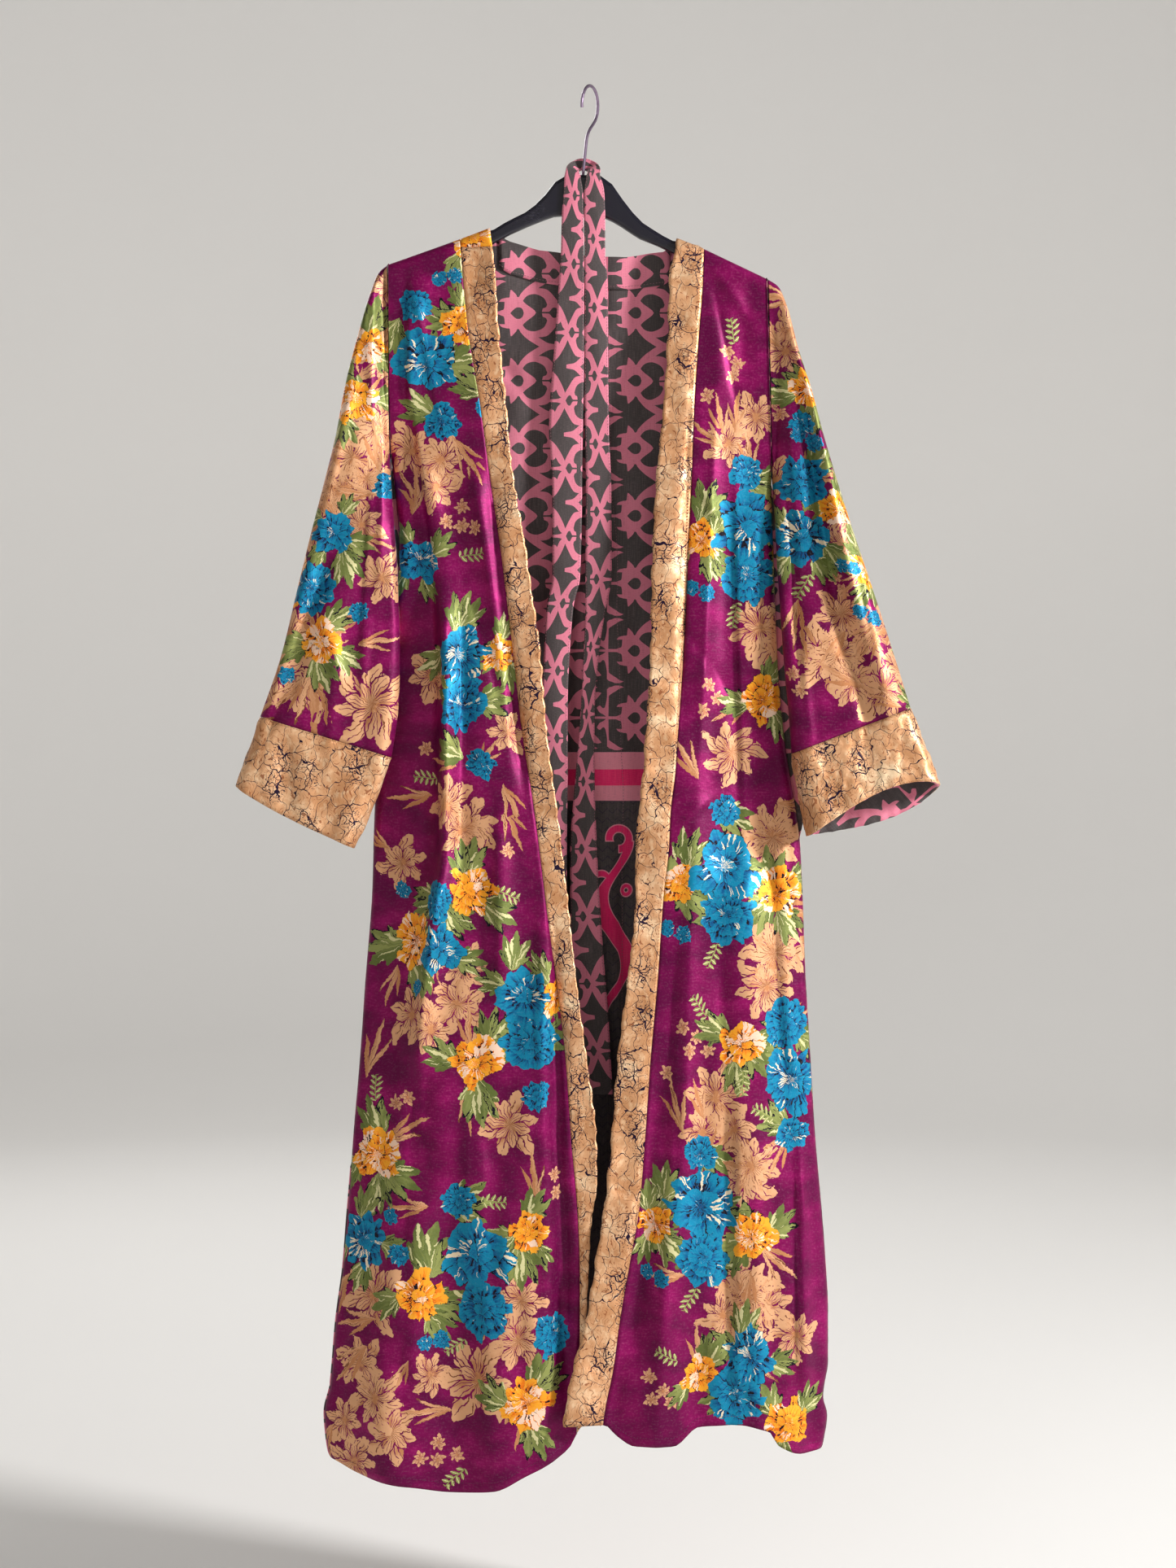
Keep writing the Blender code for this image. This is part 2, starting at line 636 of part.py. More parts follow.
def cloth(name, grid, wall, finish, collection, wrap=False):
    """A cloth piece: an open surface through the grid's points, made solid by a wall on its inner side."""
    rows, columns = grid.shape[:2]
    faces = []
    for row in range(rows - 1):
        for column in range(columns if wrap else columns - 1):
            beside = (column + 1) % columns
            upper = row * columns
            lower = upper + columns
            faces.append((upper + column, lower + column, lower + beside, upper + beside))
    mesh = bpy.data.meshes.new(name)
    mesh.from_pydata(grid.reshape(-1, 3).tolist(), [], faces)
    mesh.shade_smooth()
    piece = bpy.data.objects.new(name, mesh)
    solid = piece.modifiers.new("Wall", "SOLIDIFY")
    solid.thickness = wall
    solid.offset = -1
    mesh.materials.append(material(finish))
    collection.objects.link(piece)
    return piece


def make_hanger(collection):
    """The hanger: a flat outline with rounded edges, whose arms follow the shoulder line below the cloth."""
    drop = ARM_BELOW_CLOTH + HANGER_EDGE_RADIUS
    right_arm = np.linspace(ARM_ENDS[0] + HANGER_EDGE_RADIUS, RIGHT_SHOULDER[0][0] * MM, ARM_OUTLINE_STEPS)
    left_arm = np.linspace(LEFT_SHOULDER[0][0] * MM, ARM_ENDS[1] - HANGER_EDGE_RADIUS, ARM_OUTLINE_STEPS)
    arm_depth = ARM_HEIGHT - 2 * HANGER_EDGE_RADIUS
    top = [(x, along(SHOULDERS, x) - drop) for x in right_arm]
    lower = [(x, along(SHOULDERS, x) - drop - arm_depth) for x in right_arm]
    for points, crown in ((top, CROWN_TOP), (lower, CROWN_LOWER)):
        for x in np.linspace(crown[0][0] * MM, crown[-1][0] * MM, CROWN_OUTLINE_STEPS):
            points.append((x, along(crown, x)))
    top += [(x, along(SHOULDERS, x) - drop) for x in left_arm]
    lower += [(x, along(SHOULDERS, x) - drop - arm_depth) for x in left_arm]
    outline = bpy.data.curves.new("hanger", "CURVE")
    outline.dimensions = "2D"
    outline.fill_mode = "BOTH"
    outline.extrude = HANGER_HALF_THICKNESS - HANGER_EDGE_RADIUS
    outline.bevel_depth = HANGER_EDGE_RADIUS
    outline.bevel_resolution = 2
    points = top + lower[::-1]
    spline = outline.splines.new("POLY")
    spline.points.add(len(points) - 1)
    for point, (x, z) in zip(spline.points, points):
        point.co = (x, z, 0, 1)
    spline.use_cyclic_u = True
    outline.materials.append(material(PLASTIC))
    hanger = bpy.data.objects.new("hanger", outline)
    hanger.rotation_euler = (math.pi / 2, 0, 0)
    collection.objects.link(hanger)
    return hanger


def make_hook(collection):
    """The hook: a wire that is round at the top and eases into a straight stem."""
    centre = WIRE_RADIUS - HOOK_RADIUS
    angles = np.linspace(HOOK_TIP_ANGLE, HOOK_LAST_ANGLE, HOOK_ARC_STEPS + 1)
    route = [(HOOK_RADIUS * math.cos(a), centre + HOOK_RADIUS * math.sin(a)) for a in angles]
    start = np.array(route[-1])
    heading = np.array([math.sin(HOOK_LAST_ANGLE), -math.cos(HOOK_LAST_ANGLE)])
    guides = (start, start + HOOK_EASE * heading, np.array([0, STEM_STARTS]), np.array([0, STEM_JOINS]))
    for k in range(1, HOOK_EASE_STEPS + 1):
        t = k / HOOK_EASE_STEPS
        shares = ((1 - t) ** 3, 3 * t * (1 - t) ** 2, 3 * t**2 * (1 - t), t**3)
        route.append(tuple(sum(share * guide for share, guide in zip(shares, guides))))
    route.append((0, NECK_TOP + SEAM_GAP))
    wire = bpy.data.curves.new("hanger_hook", "CURVE")
    wire.dimensions = "3D"
    wire.bevel_depth = WIRE_RADIUS
    wire.bevel_resolution = 2
    wire.use_fill_caps = True
    spline = wire.splines.new("POLY")
    spline.points.add(len(route) - 1)
    for point, (out, z) in zip(spline.points, route):
        x = out * math.cos(HOOK_TURN) + z * STEM_LEAN
        point.co = (x, out * math.sin(HOOK_TURN), z, 1)
    wire.materials.append(material(STEEL))
    hook = bpy.data.objects.new("hanger_hook", wire)
    collection.objects.link(hook)
    return hook


def make_front(front, collection):
    """One front panel and the band that is sewn to its edge."""
    panel_columns = held_back(side_columns(FRONT_COLUMNS), SEAM_GAP, HALF_GAP)
    panel = front.strip(("side", "seam"), panel_columns, FRONT_ROWS)
    cloth(front.side + "_front", panel, SATIN_WALL, FLORAL, collection)
    band_columns = held_back(even_columns(BAND_COLUMNS), HALF_GAP, 0)
    edges = ("seam", "free")
    if front is RIGHT:
        top_piece = front.strip(edges, band_columns, 1, last=BAND_TOP_END + SEAM_GAP)
        cloth("right_band_top", top_piece, BAND_WALL, FLORAL, collection)
        band = front.strip(edges, band_columns, FRONT_ROWS, first=BAND_TOP_END)
    else:
        band = front.strip(edges, band_columns, FRONT_ROWS)
    cloth(front.side + "_band", band, BAND_WALL, CRACKLE, collection)


def make_back(collection):
    """The back, and on it the lining, the neck band outside and the neck facing inside."""
    back = back_grid()
    cloth("back", back, SATIN_WALL, FLORAL, collection)
    inside = moved(back, -(SATIN_WALL + LAYER_GAP))
    top = inside[0, :, 0]
    shown = np.flatnonzero((top > LINING_REACH[0]) & (top < LINING_REACH[1]))
    turned = len(EDGE_ANGLES) - 1
    cloth("back_lining", inside[turned:-1, shown], LINING_WALL, LINING, collection)
    strip = len(EDGE_ANGLES) + 1
    neck = np.flatnonzero(np.abs(top - NECK_MIDDLE) < NECK_REACH)
    facing = moved(inside, -(LINING_WALL + LAYER_GAP))[1:strip, neck]
    cloth("neck_facing", facing, LINING_WALL, LINING, collection)
    band = moved(back, LAYER_GAP + SATIN_WALL)[1:strip, neck]
    cloth("neck_band", band, SATIN_WALL, FLORAL, collection)


def make_sleeve(side, table, cuff_end, collection):
    """One sleeve from the armhole to the cuff seam, and its cuff."""
    sections = sleeve_sections(table)
    t = 1 - eased(np.linspace(0, 1, SLEEVE_ROWS), SLEEVE_ROUND_REACH)
    outer_rounds = SLEEVE_EDGE_ROUND + (SHOULDER_RADIUS - SLEEVE_EDGE_ROUND) * t
    inner_rounds = SLEEVE_EDGE_ROUND + (UNDERARM_ROUND - SLEEVE_EDGE_ROUND) * t
    sleeve = tube(sections, side, outer_rounds, inner_rounds)
    cloth(side + "_sleeve", sleeve, SATIN_WALL, FLORAL, collection, wrap=True)
    rounds = [SLEEVE_EDGE_ROUND] * (CUFF_ROWS + 1)
    cuff = tube(cuff_sections(sections[-1], cuff_end), side, rounds, rounds, CUFF_BOWS[side])
    cloth(side + "_cuff", cuff, SATIN_WALL, CRACKLE, collection, wrap=True)
    return cuff


def make_sleeve_lining(cuff, collection):
    """The lining that shows in the open mouth of one cuff."""
    inside = moved(cuff, -(SATIN_WALL + LAYER_GAP), wrap=True)
    cloth("left_sleeve_lining", inside, LINING_WALL, LINING, collection, wrap=True)


def main():
    clear_scene()
    collection = new_collection(COLLECTION_NAME)
    make_hanger(collection)
    make_hook(collection)
    make_back(collection)
    make_front(RIGHT, collection)
    make_front(LEFT, collection)
    make_sleeve("right", RIGHT_SLEEVE, RIGHT_CUFF_END, collection)
    left_cuff = make_sleeve("left", LEFT_SLEEVE, LEFT_CUFF_END, collection)
    make_sleeve_lining(left_cuff, collection)
    cloth("belt", belt_grid(), BELT_WALL, LINING, collection)


main()
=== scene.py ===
"""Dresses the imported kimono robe: fine cloth with prints and stitching, the hanger's finishes and a stage.

Metres, with +Z up. The robe faces -Y, X runs across the shoulders, and left and right are the wearer's.
Tables are in millimetres. Every piece keeps to the form of the solid that it replaces.
"""

import math
from collections import namedtuple

import bpy
import mathutils
import numpy as np
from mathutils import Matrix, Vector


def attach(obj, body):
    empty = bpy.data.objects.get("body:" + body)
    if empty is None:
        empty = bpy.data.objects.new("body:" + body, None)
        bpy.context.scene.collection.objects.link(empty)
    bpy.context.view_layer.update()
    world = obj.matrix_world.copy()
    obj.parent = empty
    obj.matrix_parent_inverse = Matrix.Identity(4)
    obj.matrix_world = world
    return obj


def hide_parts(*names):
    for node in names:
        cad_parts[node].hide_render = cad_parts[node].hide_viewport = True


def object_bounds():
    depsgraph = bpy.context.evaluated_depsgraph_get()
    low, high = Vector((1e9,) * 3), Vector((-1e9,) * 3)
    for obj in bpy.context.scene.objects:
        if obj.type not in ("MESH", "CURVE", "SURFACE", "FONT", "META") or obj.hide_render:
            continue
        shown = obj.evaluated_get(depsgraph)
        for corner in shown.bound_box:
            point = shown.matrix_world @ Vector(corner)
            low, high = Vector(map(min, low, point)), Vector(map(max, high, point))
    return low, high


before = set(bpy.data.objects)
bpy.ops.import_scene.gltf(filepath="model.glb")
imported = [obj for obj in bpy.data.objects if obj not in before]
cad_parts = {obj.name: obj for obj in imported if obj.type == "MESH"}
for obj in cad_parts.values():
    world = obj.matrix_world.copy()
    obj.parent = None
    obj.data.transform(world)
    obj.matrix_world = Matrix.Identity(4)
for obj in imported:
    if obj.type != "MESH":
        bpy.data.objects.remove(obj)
CAD_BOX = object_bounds()

bl_info = {
    "name": "Kimono Robe on a Hanger",
    "version": (1, 0, 0),
    "blender": (4, 5, 0),
    "location": "View3D > Sidebar > Robe",
    "description": "Makes a printed satin robe with its belt around a packed hanger",
    "category": "Object",
}


def table_of(kind, *rows):
    """A table: one named tuple of a kind for each row of values."""
    return tuple(kind(*row) for row in rows)


MM = 0.001
BODY = "root"

# Cloth walls and the gaps between the pieces
SATIN_WALL = 1.2 * MM
LINING_WALL = 1.0 * MM
BAND_WALL = 1.8 * MM
BELT_WALL = 2.0 * MM
SEAM_GAP = 0.3 * MM
HALF_GAP = SEAM_GAP / 2
EDGE_GAP = 0.35 * MM
LAYER_GAP = 0.5 * MM
THREAD_LIFT = 0.15 * MM

# How the cloth lies over the hanger and turns at the side seams
SHOULDER_RADIUS = 10 * MM
SIDE_RADIUS = 10 * MM
UNDERARM_ROUND = 40 * MM
DEPTH_STARTS_OVER = 70 * MM
DEPTH_REACHES_OVER = 75 * MM
EDGE_ANGLES = (0, 5, 10, 16, 24, 34, 46, 60, 74, 90)
TUBE_ANGLES = (0, 8, 18, 30, 44, 60, 75, 90)
MEET_STEPS = 8

# The neck band and facing of the back, the short print end of one front band, and the hems
NECK_STRIP = 34 * MM
NECK_REACH = 92 * MM
NECK_MIDDLE = -8 * MM
BAND_TOP_END = -168 * MM
BACK_HEM_RISE = 12 * MM
LINING_REACH = (-160 * MM, 140 * MM)

# How a fold fades in below its top end and out past its lower one, as shares of its length
FOLD_LEAD = 0.1
FOLD_FADE_IN = 0.45
FOLD_TAIL = 0.25
FOLD_FADE_OUT = 0.35

# How finely each piece is divided
FRONT_COLUMNS = 44
FRONT_ROWS = 270
BAND_COLUMNS = 9
BACK_COLUMNS = 96
NECK_ROWS = 8
BACK_ROWS = 240
SLEEVE_ROWS = 110
SLEEVE_COLUMNS = 34
CUFF_ROWS = 22
BELT_COLUMNS = 10
BELT_ROWS_EACH = 200

# The shoulder line and the armholes, as x and height in millimetres
RIGHT_SHOULDER = ((-106, -146), (-140, -158.8), (-194, -178), (-211, -184))
LEFT_SHOULDER = ((91, -157), (117, -168), (177, -196.6), (182, -199))
RIGHT_UNDERARM = -386 * MM
LEFT_UNDERARM = -411 * MM

# The upper edge of the back neck, as x and height in millimetres
BACK_NECK = (
    (-106, -146), (-103, -147.3), (-99, -150.5), (-87, -158), (-54, -167), (-10, -173),
    (34, -174.5), (75, -169), (84, -162), (88, -158.5), (91, -157),
)

# Between the shoulders the back hangs behind the hanger, as if it came over a line this high
BEHIND_HANGER = RIGHT_SHOULDER[::-1] + ((-99, -134), (84, -144)) + LEFT_SHOULDER
BACK_TOP = RIGHT_SHOULDER[:0:-1] + BACK_NECK + LEFT_SHOULDER[1:]

FrontRow = namedtuple("FrontRow", "height side seam free")

# The right front: x of the side seam, the band seam and the band's free edge at each height, in millimetres
RIGHT_FRONT = table_of(
    FrontRow,
    (-146, -212, -138, -106), (-192, -211, -134, -100), (-251, -210.5, -128.5, -96.5),
    (-335, -209.5, -115, -88), (-386, -208, -108, -83.5), (-436, -203, -101, -76),
    (-480, -200.5, -94.5, -68), (-503, -201, -91.5, -65), (-537, -206, -87.5, -60),
    (-587, -213, -81.5, -53), (-671, -221, -72, -46), (-755, -226, -58.5, -35), (-839, -228.5, -48, -25),
    (-923, -235, -37, -16), (-1007, -241, -27, -5), (-1091, -248, -21, 5), (-1133, -251, -17, 5.5),
    (-1175, -254.5, -14, -0.5), (-1225, -258.5, -12.5, -3), (-1283, -266, -12.5, -6),
    (-1350, -272, -14, -8), (-1377, -278, -15, -9), (-1404, -276, -16, -10), (-1451, -266, -18, -12),
)

# The wearer's left front, in the same columns
LEFT_FRONT = table_of(
    FrontRow,
    (-150, 180, 118, 91), (-167, 181, 116.8, 86.5), (-209, 182.3, 115, 80), (-251, 183.3, 111.7, 79),
    (-335, 185.2, 106, 74), (-411, 187, 103, 66.5), (-503, 190, 99, 62), (-587, 193.2, 95, 60.5),
    (-671, 200, 89, 55.5), (-713, 206, 86, 52.5), (-755, 213, 81, 48), (-789, 217, 79.5, 45),
    (-839, 219.5, 74, 45), (-923, 222.6, 68, 37), (-1007, 227.6, 60.5, 26.5), (-1091, 232.7, 54.6, 20),
    (-1158, 238.6, 49, 12.6), (-1214, 243, 39, 3.5), (-1275, 246, 28.5, -6.5), (-1323, 246, 22, -20),
    (-1362, 241, 14, -27), (-1380, 245, 11.5, -29.5), (-1420, 239, 10, -30),
)

# The front hems, as x and height in millimetres, from the right side to the left
RIGHT_HEM = (
    (-278, -1422), (-266, -1425), (-241, -1435), (-190, -1443), (-135, -1450.5), (-100, -1447),
    (-73, -1435), (-47, -1422), (-24, -1407), (-13, -1387), (-8, -1381),
)
LEFT_HEM = (
    (-30, -1379), (13, -1379), (25, -1390), (44, -1401), (83, -1401), (109, -1383.5), (147, -1381),
    (182, -1389), (192, -1404.5), (220, -1416), (237, -1414), (248, -1404),
)
BACK_HEM = RIGHT_HEM[:-2] + LEFT_HEM[1:]

DepthRow = namedtuple("DepthRow", "height front back")

# How far the cloth stands out in front of the hanger and behind it, away from the side seams, in millimetres
BODY_DEPTHS = table_of(
    DepthRow,
    (-150, 10, 10), (-260, 14, 13), (-420, 22, 17), (-650, 29, 21), (-900, 33, 24), (-1150, 38, 28),
    (-1451, 44, 34),
)

ShelfRow = namedtuple("ShelfRow", "height width")

# How wide the thin strip at each side seam is that lies behind or beside the sleeve, in millimetres
SIDE_SHELF = table_of(ShelfRow, (-150, 0), (-380, 14), (-500, 38), (-790, 42), (-860, 10), (-1451, 0))

Fold = namedtuple("Fold", "top_x top_z low_x low_z half_width rise")

# Folds, from their top end to their lower one, with half their width and how far they stand out, in
# millimetres. A rise below zero is a trough.
RIGHT_FRONT_FOLDS = table_of(
    Fold,
    (-168, -380, -163, -830, 24, 9), (-163, -760, -184, -1000, 18, 7), (-178, -1000, -178, -1130, 12, -6),
    (-108, -430, -78, -700, 12, -6), (-95, -740, -95, -930, 14, 5), (-45, -880, -32, -1390, 9, -9),
    (-66, -960, -52, -1430, 16, 7), (-205, -1080, -225, -1440, 26, 8), (-150, -1150, -140, -1450, 30, -8),
    (-95, -1180, -92, -1450, 20, 6),
)
LEFT_FRONT_FOLDS = table_of(
    Fold,
    (165, -230, 150, -520, 20, 4), (140, -300, 128, -760, 18, -4), (165, -560, 178, -980, 22, 6),
    (120, -800, 118, -1150, 26, -4), (150, -1060, 148, -1370, 18, -8), (216, -1100, 218, -1420, 16, 9),
    (185, -1120, 187, -1400, 12, -6), (84, -1150, 68, -1400, 26, 8), (112, -1230, 110, -1385, 16, -6),
)
BACK_FOLDS = table_of(
    Fold,
    (-150, -330, -165, -1400, 30, 7), (-105, -420, -100, -1400, 24, -6), (-55, -380, -50, -1400, 30, 6),
    (-5, -300, -5, -1380, 14, -4), (50, -400, 52, -1390, 26, 7), (100, -520, 108, -1390, 24, -6),
    (150, -380, 165, -1400, 28, 7), (-210, -900, -225, -1420, 22, 7), (205, -950, 215, -1400, 22, -5),
)

# Near the hem the wearer's left front laps over the right one
LapRow = namedtuple("LapRow", "height right left")
LAP = table_of(LapRow, (-150, 0, 0), (-1100, 0, 0), (-1220, 5, 7), (-1451, 7, 10))
LAP_REACH = 90 * MM

SleeveRow = namedtuple("SleeveRow", "outer_x outer_z inner_x inner_z centre_y half_depth")

# Sections of a sleeve from the armhole to the cuff seam, from its outer to its inner edge, in millimetres
RIGHT_SLEEVE = table_of(
    SleeveRow,
    (-212.2, -184.3, -209.7, -386, 0, 10), (-221, -192, -208.8, -402, 0, 10),
    (-231, -219, -206.8, -428, -7, 10), (-243, -264, -204.8, -453, -14, 10.5),
    (-254, -310, -202, -480, -19, 11), (-264, -365, -200, -507, -22, 11.5),
    (-277, -419, -199, -537, -24, 12), (-290, -470, -197.5, -569, -25, 12.5),
    (-303, -524, -197.5, -604, -26, 13), (-320, -594, -199, -648, -26.5, 13.5),
    (-341, -655, -206, -697, -27, 14),
)
RIGHT_CUFF_END = SleeveRow(-364.5, -726.5, -244, -790.5, -27, 15)
LEFT_SLEEVE = table_of(
    SleeveRow,
    (183.2, -199.5, 187.8, -411, 0, 10), (194, -207, 188.8, -424, 0, 10),
    (203.5, -230, 190, -444, -4, 10.5), (214, -272, 191, -469.5, -8, 11), (227, -314, 192, -498, -11, 11.5),
    (240, -364.5, 194, -528, -14, 12), (254.5, -414, 196, -560, -16, 13), (271, -467, 198, -592, -18, 14),
    (288, -518, 200, -619, -20, 15), (308, -580, 203, -650, -22, 16), (328.5, -646, 206, -693, -23, 17),
)
LEFT_CUFF_END = SleeveRow(358.5, -726.5, 222.5, -778, -24, 20)
SLEEVE_EDGE_ROUND = 14 * MM
SLEEVE_ROUND_REACH = 0.25

# How far a cuff's front and back layers hang below the line between its two edges
CUFF_BOWS = {"right": (4 * MM, 2 * MM), "left": (-17 * MM, 14 * MM)}
CUFF_BOW_SKEW = 0.7

SLEEVE_FOLDS = {
    "right": table_of(
        Fold,
        (-212, -200, -210, -300, 8, -4), (-234, -300, -262, -430, 10, 4), (-268, -493, -312, -640, 9, -6),
        (-240, -450, -280, -660, 16, 4),
    ),
    "left": table_of(
        Fold,
        (215, -330, 262, -600, 12, -4), (232, -400, 300, -640, 14, 4), (205, -520, 230, -680, 10, -4),
    ),
}

BeltRow = namedtuple("BeltRow", "height y left_edge left_inner right_inner right_edge")

# The belt's two strands below the hanger's neck: depth, and x of the four edges, in millimetres
BELT_ROWS = table_of(
    BeltRow,
    (-91, -8.3, -28, -12, -5, 8), (-110, -8.3, -29, -10.5, -6.5, 13), (-136, -8.3, -31, -10, -6.5, 14),
    (-173, -7, -32, -9.5, -6, 14), (-202, -4, -34, -9.5, -6, 16.5), (-264, -1, -38.5, -9.5, -6, 17),
    (-354, 2, -44.5, -10, -6, 18), (-418, 3, -41, -10, -6, 20.5), (-508, 4, -41, -12, -6.5, 21),
    (-540, 5, -47, -19, -6.5, 15), (-590, 6, -50, -23, -8.5, 7.5), (-640, 7, -52, -25, -11, 3.5),
    (-705, 8, -51, -25, -16, 3), (-800, 9, -48, -26, -22.5, 6), (-883, 10, -45, -26, -22.5, 11),
    (-975, 10, -38, -20, -14, 18), (-1049, 10, -30, -12, -5.5, 22),
)

# The belt's turn behind the stem: the middle it turns round, its height outside and inside, and its depth
BELT_TURN_MIDDLE = (-8.8 * MM, -88.5 * MM)
BELT_TURN_OUTER = (18 * MM, 16 * MM)
BELT_TURN_INNER = (5 * MM, 4 * MM)
BELT_FRONT = -8.3 * MM
BELT_BEHIND_STEM = 2.8 * MM
BELT_BEHIND_FROM = 0.85
BELT_BEHIND_POWER = 1.6
BELT_TURN_STEPS = 36
BELT_BOW = 1.2 * MM

# The stretch of lining cloth that the belt's print is cut from, and x of the lining's centre seam
BELT_CUT_WIDTH = 52 * MM
BELT_CUT_FROM = 62 * MM
LINING_SEAM = 17 * MM

# The seeds of the small waves in the bands and cuffs
BAND_SEEDS = {"right": 71, "left": 72}
CUFF_SEEDS = {"right": 73, "left": 74}

# Where the flowers of the print lie on each piece of cloth laid flat: x, height and radius in millimetres
LEFT_FRONT_PRINT = {
    "peony": ((160, -458, 32), (137, -809, 32), (107, -1159, 32), (209, -1030, 29), (161, -1310, 25)),
    "aster": ((163, -509, 27), (139, -860, 27), (109, -1210, 27), (204, -971, 25), (147, -1350, 28)),
    "posy": ((160, -402, 17), (137, -753, 17), (107, -1104, 17), (211, -1086, 18)),
    "bud": ((98, -522, 8), (115, -528, 9), (75, -873, 8), (92, -879, 9), (45, -1223, 8), (61, -1229, 9)),
    "rose": (
        (110, -474, 18), (218, -487, 22), (87, -825, 18), (194, -838, 22), (56, -1175, 18),
        (164, -1189, 22), (155, -991, 22), (107, -1331, 18), (206, -1381, 21), (179, -638, 20),
    ),
    "leaf": (
        (120, -439, 19), (196, -505, 21), (124, -494, 19), (97, -790, 19), (172, -856, 21), (101, -845, 19),
        (66, -1141, 19), (142, -1206, 21), (71, -1195, 19), (182, -995, 19), (129, -1301, 17),
        (127, -1353, 17),
    ),
    "sprig": (
        (148, -550, 14), (124, -901, 14), (94, -1252, 14), (155, -1032, 14), (177, -1063, 14),
        (146, -255, 14), (108, -953, 14), (69, -1308, 14),
    ),
    "lily": (
        (211, -428, 22), (214, -548, 25), (206, -582, 24), (187, -780, 22), (191, -899, 25),
        (182, -933, 24), (157, -1130, 22), (160, -1249, 25), (152, -1284, 24), (171, -344, 18),
        (141, -373, 17), (126, -1046, 24), (110, -1083, 17), (145, -1079, 18), (152, -1235, 20),
        (132, -1269, 18), (182, -1259, 22), (214, -1293, 20), (164, -1116, 20), (191, -899, 24),
        (189, -780, 24), (145, -692, 22), (175, -562, 22),
    ),
    "branch": ((132, -344, 18), (119, -364, 17), (81, -1053, 22), (93, -696, 20), (63, -1226, 18)),
    "floret": (
        (140, -277, 7), (151, -289, 7), (146, -302, 7), (119, -323, 7), (90, -974, 7), (107, -984, 7),
        (98, -998, 7), (119, -998, 7), (71, -1021, 7), (50, -1329, 7), (55, -1352, 7), (67, -1343, 7),
        (76, -1355, 7), (118, -622, 7), (129, -636, 7), (113, -649, 7),
    ),
}
RIGHT_FRONT_PRINT = {
    "peony": (
        (-171, -289, 31), (-132, -589, 27), (-160, -895, 24), (-69, -944, 25), (-118, -1205, 34),
        (-245, -1195, 25), (-183, -493, 21),
    ),
    "aster": (
        (-183, -229, 17), (-154, -350, 18), (-125, -643, 27), (-162, -845, 20), (-60, -990, 29),
        (-108, -1261, 28), (-29, -1289, 21),
    ),
    "posy": ((-105, -704, 15), (-55, -1043, 15), (-135, -1152, 18), (-107, -335, 13)),
    "bud": (
        (-158, -201, 8), (-142, -198, 8), (-218, -834, 8), (-192, -933, 8), (-210, -1168, 8),
        (-201, -1206, 11), (-172, -1297, 8), (-154, -1295, 9),
    ),
    "rose": (
        (-123, -159, 22), (-136, -248, 18), (-89, -591, 18), (-119, -834, 22), (-202, -885, 24),
        (-119, -1011, 23), (-36, -944, 17), (-227, -1106, 23), (-178, -1248, 23), (-61, -1183, 18),
        (-60, -1357, 24),
    ),
    "leaf": (
        (-155, -239, 15), (-134, -286, 19), (-132, -547, 19), (-88, -639, 19), (-143, -688, 19),
        (-187, -845, 19), (-138, -864, 19), (-131, -806, 15), (-102, -975, 19), (-75, -896, 17),
        (-33, -985, 19), (-113, -1054, 19), (-168, -1208, 19), (-71, -1213, 19), (-147, -1259, 19),
        (-42, -1326, 19), (-223, -1146, 17),
    ),
    "sprig": (
        (-123, -488, 14), (-188, -718, 14), (-79, -838, 14), (-228, -1038, 14), (-97, -1152, 14),
        (-140, -1435, 14), (-140, -1301, 13),
    ),
    "lily": (
        (-191, -379, 20), (-156, -391, 18), (-161, -419, 17), (-148, -747, 22), (-115, -769, 20),
        (-177, -614, 18), (-131, -913, 17), (-139, -950, 20), (-167, -975, 20), (-199, -962, 20),
        (-83, -1074, 22), (-231, -1251, 25), (-67, -1251, 18), (-70, -1293, 20), (-115, -1335, 29),
        (-165, -1330, 15), (-246, -1320, 20), (-226, -1353, 22), (-206, -1387, 20), (-254, -1424, 20),
        (-266, -1381, 17), (-128, -772, 18), (-216, -806, 18), (-73, -671, 15),
    ),
    "branch": (
        (-128, -388, 20), (-237, -998, 22), (-192, -1079, 20), (-56, -1125, 18), (-191, -1158, 17),
        (-73, -747, 18), (-207, -738, 18),
    ),
    "floret": (
        (-133, -438, 7), (-150, -453, 7), (-134, -458, 7), (-119, -460, 7), (-188, -688, 7), (-78, -793, 7),
        (-192, -1047, 7), (-205, -1053, 7), (-157, -1399, 7), (-176, -1415, 7), (-158, -1417, 7),
        (-138, -1412, 7), (-31, -1125, 7), (-29, -1143, 7),
    ),
}
RIGHT_SLEEVE_PRINT = {
    "peony": ((-265, -465, 20),),
    "aster": ((-290, -522, 25),),
    "posy": ((-209, -419, 15),),
    "bud": ((-238, -549, 10), (-315, -612, 9)),
    "rose": ((-233, -272, 17), (-279, -579, 20)),
    "leaf": ((-223, -239, 17), (-251, -503, 18), (-249, -597, 15)),
    "sprig": ((-258, -293, 14),),
    "lily": (
        (-219, -359, 20), (-253, -359, 17), (-236, -458, 17), (-270, -419, 18), (-213, -514, 18),
        (-223, -643, 30), (-211, -209, 15), (-231, -411, 17), (-298, -629, 17),
    ),
    "branch": ((-241, -318, 17), (-279, -654, 18), (-216, -579, 17)),
    "floret": ((-249, -554, 7), (-260, -567, 7)),
}
